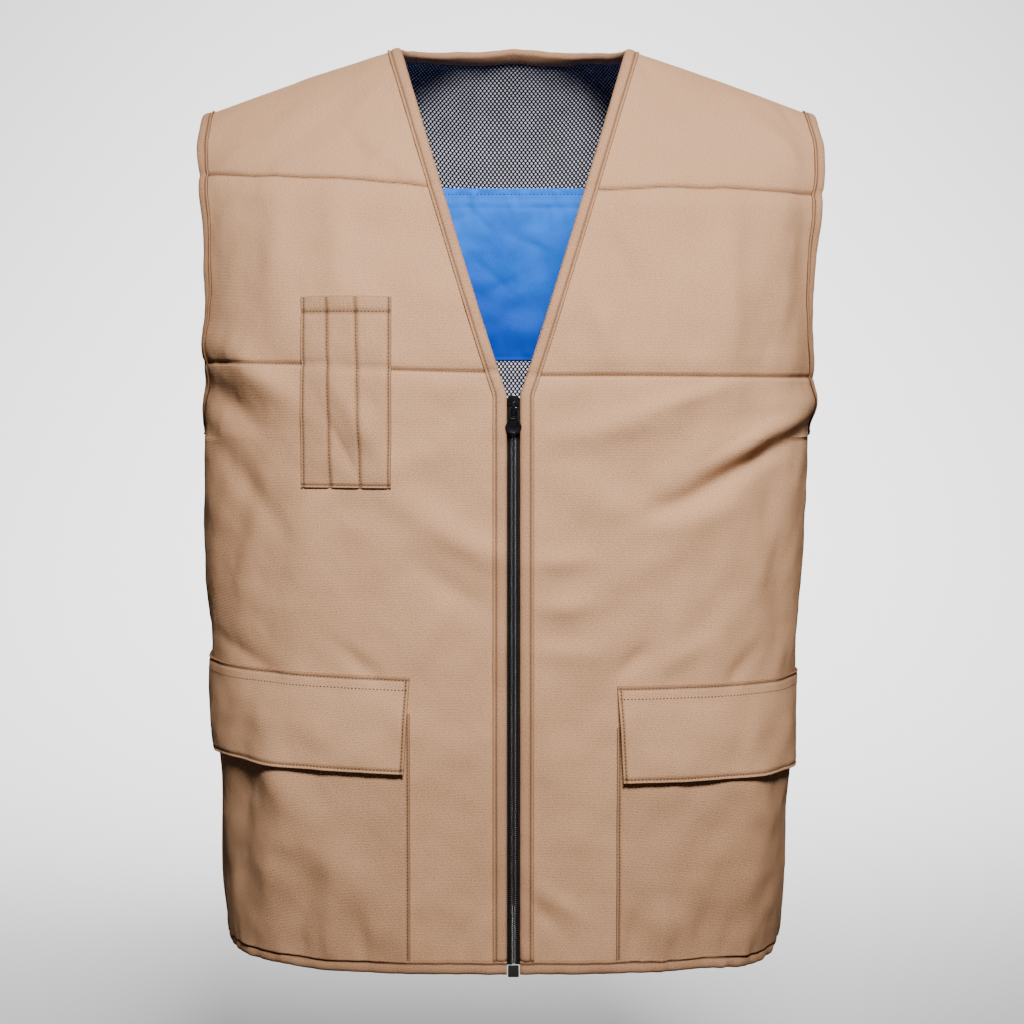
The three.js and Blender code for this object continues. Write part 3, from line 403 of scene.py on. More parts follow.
def between(face, a, b, share):
    share = np.asarray(share, float)
    point = a["point"][:, None] * (1 - share[:, None]) + b["point"][:, None] * share[:, None]
    normal = unit(a["normal"][:, None] * (1 - share[:, None]) + b["normal"][:, None] * share[:, None])
    return {"point": point, "normal": normal, "lift": reliefAt(face, point)}


def raised(cloth, offset):
    offset = np.asarray(offset, float)
    return cloth["point"] + cloth["normal"] * (cloth["lift"] + offset)[..., None]


def running(points, axis):
    steps = np.linalg.norm(np.diff(points, axis=axis), axis=-1)
    start = np.zeros_like(np.take(steps, [0], axis=axis))
    return np.concatenate([start, np.cumsum(steps, axis=axis)], axis=axis)


def flatMap(points, centre):
    u = running(points, 1)
    u = u - u[:, centre:centre + 1]
    v = running(points, 0)[:, centre:centre + 1] + 0 * u
    return np.stack([u, v], axis=-1) / 1000


# Joins grids of cloth that share their border vertices
def joined(grids):
    total = {"point": [], "normal": [], "lift": [], "map": []}
    numbers = []
    count = 0
    for cloth in grids:
        shape = cloth["lift"].shape
        own = np.ones(shape, bool)
        index = np.full(shape, -1)
        for place, shared in cloth.get("shared", []):
            index[place] = numbers[shared[0]][shared[1]]
            own[place] = False
        index[own] = np.arange(own.sum()) + count
        count += own.sum()
        numbers.append(index)
        for key in total:
            total[key].append(cloth[key][own])
    result = {key: np.concatenate(parts) for key, parts in total.items()}
    result["grids"] = numbers
    return result


def newObject(name, points, faces, maps=None, crease=None):
    mesh = bpy.data.meshes.new(name)
    places = (np.asarray(points, float) - (0, torso["shoulderSet"], torso["seatHeight"])) / 1000
    mesh.from_pydata(places.tolist(), [], [list(face) for face in faces])
    if maps is not None:
        layer = mesh.uv_layers.new(name="cloth")
        corners = np.zeros(len(mesh.loops), int)
        mesh.loops.foreach_get("vertex_index", corners)
        layer.data.foreach_set("uv", np.asarray(maps, float)[corners].ravel())
    # The crease attribute holds painted shade for grooves, seams and edges
    if crease is not None:
        mesh.attributes.new("crease", "FLOAT", "POINT").data.foreach_set("value", np.asarray(crease, float).ravel())
    mesh.polygons.foreach_set("use_smooth", [True] * len(mesh.polygons))
    work = bmesh.new()
    work.from_mesh(mesh)
    bmesh.ops.recalc_face_normals(work, faces=work.faces)
    work.to_mesh(mesh)
    work.free()
    mesh.update()
    obj = bpy.data.objects.new(name, mesh)
    bpy.context.scene.collection.objects.link(obj)
    return obj


def gridFaces(index):
    ring = [index[:-1, :-1], index[:-1, 1:], index[1:, 1:], index[1:, :-1]]
    return np.stack([part.ravel() for part in ring], axis=1)


# Cloth with two sides. Rolled cloth comes together at its edges, other cloth has a narrow rim.
def clothPiece(name, cloth, low, high, rolled=False, crease=0.0):
    count = len(cloth["lift"])
    crease = np.broadcast_to(np.asarray(crease, float), (count,))
    low = np.broadcast_to(np.asarray(low, float), (count,))
    high = np.broadcast_to(np.asarray(high, float), (count,))
    quads = np.concatenate([gridFaces(index) for index in cloth["grids"]])
    edges = np.concatenate([np.stack([quads[:, k], quads[:, (k + 1) % 4]], axis=1) for k in range(4)])
    outline = ~np.isin(edges[:, 0] * count + edges[:, 1], edges[:, 1] * count + edges[:, 0])
    rim = edges[outline]
    top, under = raised(cloth, high), raised(cloth, low)
    faces = [quads, quads[:, ::-1] + count]
    if rolled:
        border = np.unique(rim)
        top[border] = (top[border] + under[border]) / 2
        follow = np.arange(2 * count)
        follow[border + count] = border
        faces = [follow[part] for part in faces]
    else:
        faces.append(np.stack([rim[:, 1], rim[:, 0], rim[:, 0] + count, rim[:, 1] + count], axis=1))
    faces = np.concatenate(faces)
    used, faces = np.unique(faces, return_inverse=True)
    points = np.concatenate([top, under])[used]
    maps = np.concatenate([cloth["map"], cloth["map"]])[used]
    shadow = np.concatenate([crease, crease])[used]
    return newObject(name, points, faces.reshape(-1, 4), maps, shadow)


def widened(row):
    return {key: (value[:, None] if isinstance(value, np.ndarray) else value) for key, value in row.items()}


# Rows of shares that space the cloth evenly between a line near the centre and the outer line
def evenShares(row, start, count):
    dense = start[:, None] + (1 - start[:, None]) * np.linspace(0, 1, 240) ** 1.2
    wide = widened(row)
    length = running(pointAt(wide, dense), 1)
    return np.stack([
        np.interp(np.linspace(0, line[-1], count), line, shares) for line, shares in zip(length, dense)
    ])


# Shares of the armhole's height where rows lie closer, at the stitched lines
closeBands = ((0.268, 0.328), (0.595, 0.705))


def levelList(bodyCount, yokeCount, closer=1):
    fine = np.linspace(0, 1, 2001)
    density = 1 + 0 * fine
    for low, high in closeBands:
        within = smoothstep(low - 0.02, low, fine) * (1 - smoothstep(high, high + 0.02, fine))
        density = density + (closer - 1) * within
    total = np.concatenate([[0], np.cumsum((density[1:] + density[:-1]) / 2)])
    shares = np.interp(np.linspace(0, total[-1], int(yokeCount * total[-1] / 2000)), total, fine)
    return np.concatenate([np.linspace(0, 1, bodyCount), 1 + shares[1:]])


def strip(face, hand, levels, outer, count):
    edge = armholeLine(face, hand, levels)
    cloth = between(face, outer, edge, np.linspace(0, 1, count))
    cloth["map"] = flatMap(cloth["point"], 0)
    return cloth


def frontCloth(hand, bodyCount, yokeCount, columns, closer=1):
    levels = levelList(bodyCount, yokeCount, closer)
    row = clothRow(front, hand, levels)
    shares = evenShares(row, shareAt(row, openingOf(row)), columns)
    main = surface(front, hand, levels[:, None], shares)
    main["map"] = flatMap(main["point"], 0)
    arm = levels >= 1
    outer = {key: main[key][arm][:, -1] for key in ("point", "normal", "lift")}
    side = strip(front, hand, levels[arm], outer, 4)
    side["map"] = side["map"] + main["map"][arm][:, -1:]
    low = int(np.argmax(arm))
    side["shared"] = [((slice(None), 0), (0, (slice(low, None), -1)))]
    return joined([main, side])


def neckLevel(x, half, reach):
    target = torso["shoulderSet"] + reach * np.sqrt(np.maximum(0, 1 - (x / half) ** 2))
    hand = np.where(x < 0, right, left)
    low, high = 1.5 + 0 * x, 2.0 + 0 * x
    for _ in range(40):
        level = (low + high) / 2
        row = clothRow(back, hand, level)
        far = pointAt(row, shareAt(row, np.abs(x)))[..., 1] > target
        low, high = np.where(far, level, low), np.where(far, high, level)
    return high


def backCloth(bodyCount, yokeCount, neckCount, bladeCount, sideCount, closer=1):
    levels = levelList(bodyCount, yokeCount, closer)
    half = neck["halfWidth"] + torso["bindingWidth"]
    reach = neck["backReach"] + torso["bindingWidth"]
    wing = 150
    turns = np.linspace(-np.pi / 2, np.pi / 2, neckCount)
    blade = np.linspace(wing, half, bladeCount)[1:-1]
    inner = np.concatenate([-blade, half * np.sin(turns), blade[::-1]])
    top = np.where(np.abs(inner) < half - 1e-6, neckLevel(np.clip(inner, -half, half), half, reach), 2)
    above = np.maximum(0, levels[:, None] - 1.5)
    held = np.minimum(levels[:, None], 1.5) + above * 2 * (top[None] - 1.5)
    hands = np.where(inner < 0, right, left) + 0 * held
    shares = shareAt(clothRow(back, hands, held), np.abs(inner)[None])
    sides = []
    for hand in (right, left):
        row = clothRow(back, hand, levels)
        start = shareAt(row, wing)
        sides.append(evenShares(row, start, sideCount))
    allLevels = np.concatenate([
        np.repeat(levels[:, None], sideCount, 1), held, np.repeat(levels[:, None], sideCount, 1)], axis=1)
    allHands = np.concatenate([
        np.full(sides[0].shape, right), hands, np.full(sides[1].shape, left)], axis=1)
    allShares = np.concatenate([sides[0][:, ::-1], shares, sides[1]], axis=1)
    main = surface(back, allHands, allLevels, allShares)
    centre = allShares.shape[1] // 2
    main["map"] = flatMap(main["point"], centre)
    arm = levels >= 1
    low = int(np.argmax(arm))
    grids = [main]
    for hand, column in ((right, 0), (left, -1)):
        outer = {key: main[key][arm][:, column] for key in ("point", "normal", "lift")}
        side = strip(back, hand, levels[arm], outer, 4)
        if hand == left:
            side["shared"] = [((slice(None), 0), (0, (slice(low, None), -1)))]
            side["map"] = side["map"] + main["map"][arm][:, -1:]
        else:
            for key in ("point", "normal", "lift", "map"):
                side[key] = side[key][:, ::-1]
            side["map"] = side["map"] * (-1, 1) + main["map"][arm][:, :1]
            side["shared"] = [((slice(None), -1), (0, (slice(low, None), 0)))]
        grids.append(side)
    first = sideCount + bladeCount - 2
    span = slice(first, first + neckCount)
    x = neck["halfWidth"] * np.sin(turns)
    hands = np.where(x < 0, right, left)
    curve = surfaceAcross(back, hands, neckLevel(x, neck["halfWidth"], neck["backReach"]), np.abs(x))
    outer = {key: main[key][-1, span] for key in ("point", "normal", "lift")}
    top = between(back, outer, curve, np.linspace(0, 1, 4))
    top["map"] = flatMap(top["point"], 0)[..., ::-1] + main["map"][-1, span][:, None] * (1, 0) + (0, 0.66)
    for key in ("point", "normal", "lift", "map"):
        top[key] = np.swapaxes(top[key], 0, 1)
    top["shared"] = [((0, slice(None)), (0, (-1, span)))]
    grids.append(top)
    return joined(grids)


# Colours are given as they look on a screen
def tone(red, green, blue):
    values = [value / 255 for value in (red, green, blue)]
    return [value / 12.92 if value <= 0.04045 else ((value + 0.055) / 1.055) ** 2.4 for value in values]


class Wire:
    def __init__(self, tree, socket):
        self.tree = tree
        self.socket = socket

    def node(self, kind, inputs, output=0, **settings):
        made = self.tree.nodes.new(kind)
        for name, value in settings.items():
            setattr(made, name, value)
        for name, value in inputs.items():
            if isinstance(value, Wire):
                self.tree.links.new(value.socket, made.inputs[name])
            else:
                made.inputs[name].default_value = value
        return Wire(self.tree, made.outputs[output])

    def maths(self, operation, *values):
        return self.node("ShaderNodeMath", dict(enumerate(values)), operation=operation)

    def __add__(self, other):
        return self.maths("ADD", self, other)

    def __radd__(self, other):
        return self.maths("ADD", other, self)

    def __sub__(self, other):
        return self.maths("SUBTRACT", self, other)

    def __rsub__(self, other):
        return self.maths("SUBTRACT", other, self)

    def __mul__(self, other):
        return self.maths("MULTIPLY", self, other)

    def __rmul__(self, other):
        return self.maths("MULTIPLY", other, self)

    def __truediv__(self, other):
        return self.maths("DIVIDE", self, other)

    def __rtruediv__(self, other):
        return self.maths("DIVIDE", other, self)

    def wave(self, length):
        return self.maths("SINE", self * (2 * math.pi / length))

    def between(self, low, high):
        return self.node("ShaderNodeMapRange", {"Value": self, "From Min": low, "From Max": high},
                         interpolation_type="SMOOTHSTEP")

    def noise(self, scale, detail=2.0, roughness=0.5):
        return self.node("ShaderNodeTexNoise", {
            "Vector": self, "Scale": scale, "Detail": detail, "Roughness": roughness})

    def split(self):
        made = self.node("ShaderNodeSeparateXYZ", {"Vector": self}).socket.node
        return [Wire(self.tree, socket) for socket in made.outputs]

    def mix(self, low, high):
        return self.node("ShaderNodeMix", {0: self, 6: low, 7: high}, 2, data_type="RGBA")


def material(name, build, constants):
    made = bpy.data.materials.new(name)
    made.use_nodes = True
    tree = made.node_tree
    shader = tree.nodes["Principled BSDF"]
    for socket, value in constants.items():
        shader.inputs[socket].default_value = value
    start = Wire(tree, None)
    places = start.node("ShaderNodeTexCoord", {}, "Object")
    flat = start.node("ShaderNodeUVMap", {}, uv_map="cloth")
    for socket, wire in build(start, places, flat).items():
        tree.links.new(wire.socket, shader.inputs[socket])
    return made


def colour(values):
    return (*values, 1.0)


def bumped(start, height, strength, distance):
    return start.node("ShaderNodeBump", {"Height": height, "Strength": strength, "Distance": distance})


# Woven cloth: ribs across, uneven threads and slow changes of tone, with painted shade from the crease attribute in
# grooves, seams and along edges
def wovenBuild(light, dark, rib, strength, twill=0.0):
    def build(start, places, flat):
        u, v = flat.split()[:2]
        threads = start.node("ShaderNodeCombineXYZ", {"X": u * 700, "Y": v * 1500, "Z": 0.0}).noise(1.0, 2.0, 0.6)
        speck = flat.noise(1300.0, 2.0, 0.7)
        slow = places.noise(7.0, 3.0)
        weave = v.wave(rib) * 0.5 + 0.5
        if twill:
            weave = (u + v).wave(twill) * 0.5 + 0.5
        amount = threads * 0.9 + speck * 1.1 + slow * 0.3 + weave * 0.05 - 0.66
        base = amount.between(0.12, 0.88).mix(colour(dark), colour(light))
        # Painted shade: the crease attribute darkens the colour towards a third of the dark tone
        crease = start.node("ShaderNodeAttribute", {}, 2, attribute_name="crease")
        base = crease.mix(base, colour([part * 0.34 for part in dark]))
        height = weave * 0.22 + threads * 0.7 + speck * 0.8
        return {"Base Color": base, "Normal": bumped(start, height, strength, 0.0005)}
    return build


def netBuild(cord, hole, across, up, size):
    def build(start, places, flat):
        u, v = flat.split()[:2]
        nearest = None
        for shift in (0.0, 0.5):
            a = (start.maths("FRACT", u / across + (shift + 20.5)) - 0.5) * across
            b = (start.maths("FRACT", v / (2 * up) + (shift + 20.5)) - 0.5) * (2 * up * 0.86)
            away = start.maths("SQRT", a * a + b * b)
            nearest = away if nearest is None else start.maths("MINIMUM", nearest, away)
        dot = 1 - nearest.between(size * 0.34, size * 0.60)
        shade = places.noise(60.0, 2.0)
        bright = shade.between(0.25, 0.75).mix(colour([c * 0.8 for c in hole]), colour(hole))
        base = dot.mix(colour(cord), bright)
        height = (1 - dot) + places.noise(1500.0, 1.0) * 0.3
        return {"Base Color": base, "Normal": bumped(start, height, 0.6, 0.0004)}
    return build


def coolingBuild(light, dark):
    def build(start, places, flat):
        u, v = flat.split()[:2]
        slow = places.noise(24.0, 3.0)
        grain = places.noise(1200.0, 2.0)
        weave = (u.wave(0.0009) * v.wave(0.0009)) * 0.5 + 0.5
        # Painted shade: v * 4.0 makes the colour darker towards the bottom of the panel, beneath the fronts; the noise
        # is the cloth's own uneven tone
        base = (slow * 0.4 + grain * 0.2 + v * 4.0).between(0.3, 0.9).mix(colour(dark), colour(light))
        return {"Base Color": base, "Normal": bumped(start, weave * 0.5 + grain * 0.6, 0.4, 0.0003)}
    return build


def plainBuild(light, dark, scale, strength=0.15):
    def build(start, places, flat):
        grain = places.noise(scale, 3.0)
        base = grain.between(0.3, 0.7).mix(colour(dark), colour(light))
        return {"Base Color": base, "Normal": bumped(start, grain, strength, 0.0002)}
    return build


clothFinish = {"Roughness": 0.95, "Specular IOR Level": 0.06}
weaveRib = 0.0011
shades = {
    "shell": material("shellCloth", wovenBuild(tone(230, 179, 138), tone(178, 132, 97), weaveRib, 0.7), clothFinish),
    # The pockets' cloth is the shell's cloth made a little darker, as painted shade
    "pocket": material("pocketCloth", wovenBuild(tone(220, 171, 132), tone(166, 123, 91), weaveRib, 0.7), clothFinish),
    "binding": material("bindingTwill", wovenBuild(tone(222, 171, 132), tone(160, 116, 84), weaveRib, 1.0, 0.0017),
                        clothFinish),
    "lining": material("dottedNet", netBuild(tone(22, 20, 28), tone(232, 230, 246), 0.0032, 0.0022, 0.0017),
                       clothFinish),
    "cooling": material("coolingCloth", coolingBuild(tone(34, 128, 250), tone(12, 68, 180)),
                        {**clothFinish, "Roughness": 0.62}),
    # The thread's colour is partly its own brown and partly painted shade of the stitch holes and grooves
    "thread": material("sewingThread", plainBuild(tone(104, 74, 54), tone(74, 52, 38), 1800.0), {"Roughness": 0.8}),
    "coolingThread": material("blueThread", plainBuild(tone(24, 84, 180), tone(14, 62, 150), 1800.0),
                              {"Roughness": 0.8}),
    "tape": material("zipTape", plainBuild(tone(26, 24, 23), tone(10, 9, 9), 1600.0, 0.5), {"Roughness": 0.85}),
    "coil": material("zipCoil", plainBuild(tone(58, 56, 55), tone(38, 36, 36), 900.0),
                     {"Roughness": 0.28, "Specular IOR Level": 0.7}),
    "metal": material("slideMetal", plainBuild(tone(62, 62, 66), tone(40, 40, 44), 500.0, 0.05),
                      {"Roughness": 0.2, "Metallic": 0.85, "Coat Weight": 0.6, "Coat Roughness": 0.12}),
}


def finished(obj, shade, body="vest", nodes=()):
    obj.data.materials.clear()
    obj.data.materials.append(shades[shade])
    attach(obj, body)
    if nodes:
        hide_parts(*nodes)
    return obj


# Panels of the vest: rows below the arm, rows round it and columns across
panelGrid = {"bodyCount": 108, "yokeCount": 80, "columns": 84, "closer": 4}
backGrid = {"bodyCount": 88, "yokeCount": 68, "neckCount": 47, "bladeCount": 15, "sideCount": 38, "closer": 4}
liningGrid = {"bodyCount": 60, "yokeCount": 50, "columns": 48}
backLiningGrid = {"bodyCount": 60, "yokeCount": 50, "neckCount": 41, "bladeCount": 11, "sideCount": 28}


def layerPair(name, outer, inner, shellNode, liningNode):
    shell = clothPiece("shell" + name, outer, 0.0, layers["shellOut"], crease=chestPaintedShade(outer["point"]))
    finished(shell, "shell", nodes=(shellNode,))
    lining = clothPiece("lining" + name, inner, layers["liningIn"], layers["liningOut"])
    finished(lining, "lining", nodes=(liningNode,))


for hand, handName in bothSides:
    node = "front_panel_" + handName
    outer, inner = frontCloth(hand, **panelGrid), frontCloth(hand, **liningGrid)
    layerPair(handName.capitalize(), outer, inner, node, node)
layerPair("Back", backCloth(**backGrid), backCloth(**backLiningGrid), "back_panel", "back_lining")
print("panels done", flush=True)


# Stitches lie along lines as small rounded lengths of thread
stitchShape = {"pitch": 2.6, "length": 1.6, "width": 0.8, "height": 0.4}
stitchRows = {"thread": [], "coolingThread": []}


def sewn(line, normals, thread="thread", pitch=None):
    length = running(np.asarray(line), 0)
    pitch = pitch or stitchShape["pitch"]
    places = np.arange(pitch / 2, length[-1], pitch)
    half = stitchShape["length"] / 2 * pitch / stitchShape["pitch"]

    def at(value, where):
        return np.stack([np.interp(where, length, value[:, k]) for k in range(3)], axis=1)
    start, end = at(line, places - half), at(line, places + half)
    stitchRows[thread].append((start, end, unit(at(normals, places))))


def stitchObject(name, rows):
    start, end, up = (np.concatenate([row[k] for row in rows]) for k in range(3))
    along = unit(end - start)
    side = unit(np.cross(up, along))
    up = np.cross(along, side)
    w, h = stitchShape["width"] / 2, stitchShape["height"] / 2
    corners = [start - up * h]
    for share, size in ((0.16, 0.75), (0.5, 1.0), (0.84, 0.75)):
        middle = start * (1 - share) + end * share
        corners += [middle + side * w * size, middle + up * h * size, middle - side * w * size, middle - up * h]
    corners.append(end - up * h)
    points = np.stack(corners, axis=1)
    faces = []
    for k in range(4):
        m = (k + 1) % 4
        faces.append((0, 1 + k, 1 + m, 1 + m))
        for ring in (1, 5):
            faces.append((ring + k, ring + m, ring + 4 + m, ring + 4 + k))
        faces.append((13, 9 + m, 9 + k, 9 + k))
    faces = np.array(faces)
    quads = (faces[None] + (np.arange(len(points)) * 14)[:, None, None]).reshape(-1, 4)
    clean = [face[:3] if face[2] == face[3] else face for face in quads.tolist()]
    return newObject(name, points.reshape(-1, 3), clean)


# Folded tape over an edge: distance beyond the edge and height over the middle surface
bindingSection = [
    (-8.85, 2.30), (-9.15, 2.90), (-8.75, 3.65), (-8.00, 3.86), (-7.20, 3.30), (-6.50, 2.70), (-5.80, 3.30),
    (-4.80, 3.50), (-3.00, 3.60), (-1.30, 3.42), (-0.20, 2.90), (0.60, 2.00), (1.05, 0.90), (1.10, 0.10),
    (0.75, -1.00), (0.00, -1.90), (-1.20, -2.35), (-4.50, -2.45), (-8.20, -2.45), (-8.80, -2.15), (-8.60, -1.66),
    (-4.50, -1.60), (-1.00, -1.50), (0.10, -0.80), (0.30, 0.50), (0.05, 1.60), (-0.90, 2.36), (-4.60, 2.45),
]
# Painted shade round the binding's free edge and in its stitch groove, kept in the crease attribute
bindingPaintedShade = np.interp(
    np.arange(len(bindingSection)),
    (0, 1, 2, 3, 4, 5, 6, 7, 25, 26, 27), (1, 0.9, 0.3, 0, 0.25, 0.75, 0.25, 0, 0, 0.4, 1))
bindingUneven = waves(11, 8, 60)
bindingLook = {"height": 0.14, "stitchHeight": 0.12, "topFrom": 2.7, "stitchAt": -6.5, "stitchLift": 0.12}


def bindingPiece(name, edge, inner, closed):
    section = np.array(bindingSection)
    width = torso["bindingWidth"]
    inside = np.clip(1 + section[:, 0] / width, 0, 1)
    beyond = np.maximum(0, section[:, 0])
    share = inside[None, :, None]
    point = inner["point"][:, None] * (1 - share) + edge["point"][:, None] * share
    normal = unit(inner["normal"][:, None] * (1 - share) + edge["normal"][:, None] * share)
    face = np.where(point[..., 1] < torso["shoulderSet"] / 2, front, back)
    lift = np.where(face == front, reliefAt(front, point), reliefAt(back, point))
    out = unit(edge["point"] - inner["point"])[:, None]
    length = running(edge["point"], 0)
    bump = bindingLook["height"] * bindingUneven(length, 0 * length)
    bump = bump + bindingLook["stitchHeight"] * np.cos(2 * np.pi * length / stitchShape["pitch"])
    onTop = (section[:, 1] > bindingLook["topFrom"]).astype(float)
    height = section[:, 1][None] + bump[:, None] * onTop[None]
    points = point + out * beyond[None, :, None] + normal * (lift + height)[..., None]
    count, size = points.shape[:2]
    index = np.arange(count * size).reshape(count, size)
    index = np.concatenate([index, index[:, :1]], axis=1)
    around = running(np.concatenate([section, section[:1]]), 0)[:-1]
    maps = np.stack(np.broadcast_arrays(length[:, None], around[None]), axis=-1) / 1000
    if closed:
        index = np.concatenate([index, index[:1]], axis=0)
    faces = gridFaces(index).tolist()
    if not closed:
        faces += [index[0, :-1].tolist(), index[-1, :-1][::-1].tolist()]
    crease = bindingPaintedShade[None] + 0 * length[:, None]
    piece = newObject(name, points.reshape(-1, 3), faces, maps.reshape(-1, 2), crease)
    onTopOnly = 9 * (section[:, 1] < 2)
    row = int(np.argmin(np.abs(section[:, 0] - bindingLook["stitchAt"]) + onTopOnly))
    line = points[:, row]
    up = normal[:, row]
    if closed:
        line, up = np.concatenate([line, line[:1]]), np.concatenate([up, up[:1]])
    sewn(line + up * bindingLook["stitchLift"], up)
    piece["run"] = float(length[-1])
    return piece


def picked(cloth, keep):
    return {key: cloth[key][keep] for key in ("point", "normal", "lift")}


def chained(parts):
    return {key: np.concatenate([part[key] for part in parts]) for key in ("point", "normal", "lift")}


def evenLine(make, low, high, pitch):
    rough = np.linspace(low, high, 400)
    length = running(make(rough)["point"], 0)
    count = max(2, int(round(length[-1] / pitch)))
    return np.interp(np.linspace(0, length[-1], count), length, rough)


def frontEdge(hand, beyond):
    def make(levels):
        row = clothRow(front, hand, levels)
        return surfaceAcross(front, hand, levels, openingOf(row) + beyond)
    return make


bindingPitch, bindingStart, hemReach = 2.6, 8.6, 1.1
width = torso["bindingWidth"]
edges, inners = [], []
for hand in (right, left):
    levels = evenLine(frontEdge(hand, 0), bindingStart / bandLow, 2, bindingPitch)
    edge, inner = frontEdge(hand, 0)(levels), frontEdge(hand, width)(levels)
    if hand == left:
        edge, inner = picked(edge, slice(None, None, -1)), picked(inner, slice(None, None, -1))
    edges.append(edge)
    inners.append(inner)
turns = np.linspace(-np.pi / 2, np.pi / 2, 98)[1:-1]


def neckCurve(grow):
    x = (neck["halfWidth"] + grow) * np.sin(turns)
    hands = np.where(x < 0, right, left)
    level = neckLevel(x, neck["halfWidth"] + grow, neck["backReach"] + grow)
    return surfaceAcross(back, hands, level, np.abs(x))


neckBinding = finished(
    bindingPiece("neckBinding", chained([edges[0], neckCurve(0), edges[1]]),
                 chained([inners[0], neckCurve(width), inners[1]]), False),
    "binding", nodes=("neck_binding",))
armBindings = []
for hand, handName in bothSides:
    edges, inners = [], []
    for face in (front, back):
        levels = evenLine(lambda at: armholeLine(face, hand, at), 1, 2, bindingPitch)
        if face == back:
            levels = levels[::-1][1:-1]
        row = clothRow(face, hand, levels)
        edges.append(armholeLine(face, hand, levels))
        inners.append(surface(face, hand, levels, 1 + 0 * levels))
    armBindings.append(finished(
        bindingPiece("armholeBinding" + handName.capitalize(), chained(edges), chained(inners), True),
        "binding", nodes=("armhole_binding_" + handName,)))


def hemRun(level):
    runs = []
    for face, hand, turned in ((front, right, False), (back, right, True), (back, left, False), (front, left, True)):
        row = clothRow(face, hand, np.zeros(1))
        start = neck["openingHalf"] - hemReach if face == front else 0
        low = float(shareAt(row, start)[0])
        rough = np.linspace(low, 1, 300)
        length = running(surface(face, hand, 0, rough)["point"], 0)
        shares = np.interp(np.linspace(0, length[-1], int(length[-1] / bindingPitch)), length, rough)
        if turned:
            shares = shares[::-1]
        if face == back:
            shares = shares[1:] if hand == right else shares[:-1]
        runs.append(surface(face, hand, level, shares))
    return chained(runs)


hemEdge, hemInner = hemRun(0.0), hemRun(width / bandLow)
hemBinding = finished(bindingPiece("hemBinding", hemEdge, hemInner, False),
                      "binding", nodes=("hem_binding",))
for piece in (neckBinding, *armBindings, hemBinding):
    piece["run"] / 1000 * 1.02
print("bindings done", flush=True)


# A patch sewn on a front: distances from its front edge and heights, with closer rows at its edges
def crowded(length, pitch, ends=(0.0, 0.25, 0.7, 1.3, 2.0, 2.8, 3.8, 5.2, 7.0)):
    ends = np.array(ends)
    inner = np.linspace(ends[-1], length - ends[-1], max(2, int((length - 2 * ends[-1]) / pitch)))[1:-1]
    return np.concatenate([ends, inner, length - ends[::-1]])


def patchCloth(hand, heights, xFront, xSide, pitch, tiltTop=0.0, tiltLow=0.0, lean=(0, 0)):
    levels = np.where(heights <= bandLow, heights / bandLow, levelOf(heights))
    row = clothRow(front, hand, levels)
    climb = (heights - heights[0]) / (heights[-1] - heights[0])
    start = shareAt(row, xFront + tiltLow * (1 - climb) + tiltTop * climb)
    end = shareAt(row, xSide) if xSide else 1 + 0 * start
    dense = start[:, None] + (end - start)[:, None] * np.linspace(0, 1, 200)
    wide = widened(row)
    length = running(pointAt(wide, dense), 1)
    across = crowded(float(length[:, -1].mean()), pitch)
    share = across / across[-1]
    shares = np.stack([np.interp(share * line[-1], line, s) for line, s in zip(length, dense)])
    levels = levels[:, None] + 0 * shares
    if any(lean):
        flat = pointAt(wide, shares)
        x, z = np.abs(flat[..., 0]), flat[..., 2] + lean[0] * (1 - share) + lean[1] * share
        levels = levelAt(front, hand, z, x)
        shares = np.where(share >= 1, 1, shareAt(clothRow(front, hand, levels), x))
    cloth = surface(front, hand, levels, shares)
    cloth["map"] = flatMap(cloth["point"], 0)
    cloth["across"] = across[None] + 0 * shares
    cloth["up"] = (heights - heights[0])[:, None] + 0 * shares
    cloth["shape"] = shares.shape
    return cloth


stitchGroove = {"depth": 0.8, "half": 0.8, "shade": 0.75, "outlineShade": 0.9, "outlineHalf": 0.45}


def grooves(away, depth=stitchGroove["depth"], half=stitchGroove["half"]):
    return -depth * np.exp(-(away / half) ** 2)


# Painted shade: darker along grooves and along the outline of a patch
def patchPaintedShade(cloth, groove):
    across, up = cloth["across"], cloth["up"]
    away = np.minimum(np.minimum(across, across.max() - across), np.minimum(up, up.max() - up))
    stitched = -groove / stitchGroove["depth"] * stitchGroove["shade"]
    outline = stitchGroove["outlineShade"] * np.exp(-(away / stitchGroove["outlineHalf"]) ** 2)
    return np.clip(np.maximum(stitched, outline), 0, 1).ravel()


def flatten(cloth):
    flat = {key: cloth[key].reshape(-1, *cloth[key].shape[2:]) for key in ("point", "normal", "lift", "map")}
    flat["grids"] = [np.arange(flat["lift"].size).reshape(cloth["shape"])]
    return flat


def lineOn(cloth, offset, ups, acrosses):
    surfacePoints = raised(cloth, offset)
    rows = np.interp(ups, cloth["up"][:, 0], np.arange(cloth["shape"][0]))
    columns = np.interp(acrosses, cloth["across"][0], np.arange(cloth["shape"][1]))
    i = np.clip(rows.astype(int), 0, cloth["shape"][0] - 2)
    j = np.clip(columns.astype(int), 0, cloth["shape"][1] - 2)
    a, b = (rows - i)[:, None], (columns - j)[:, None]

    def at(values):
        return (values[i, j] * (1 - a) * (1 - b) + values[i, j + 1] * (1 - a) * b
                + values[i + 1, j] * a * (1 - b) + values[i + 1, j + 1] * a * b)
    return at(surfacePoints), unit(at(cloth["normal"]))


def sewOn(cloth, offset, lines, thread="thread"):
    for (up0, across0), (up1, across1) in lines:
        count = max(8, int(math.hypot(up1 - up0, across1 - across0) / 1.5))
        t = np.linspace(0, 1, count)
        line, up = lineOn(cloth, offset, up0 + (up1 - up0) * t, across0 + (across1 - across0) * t)
        sewn(line + up * 0.1, up, thread)


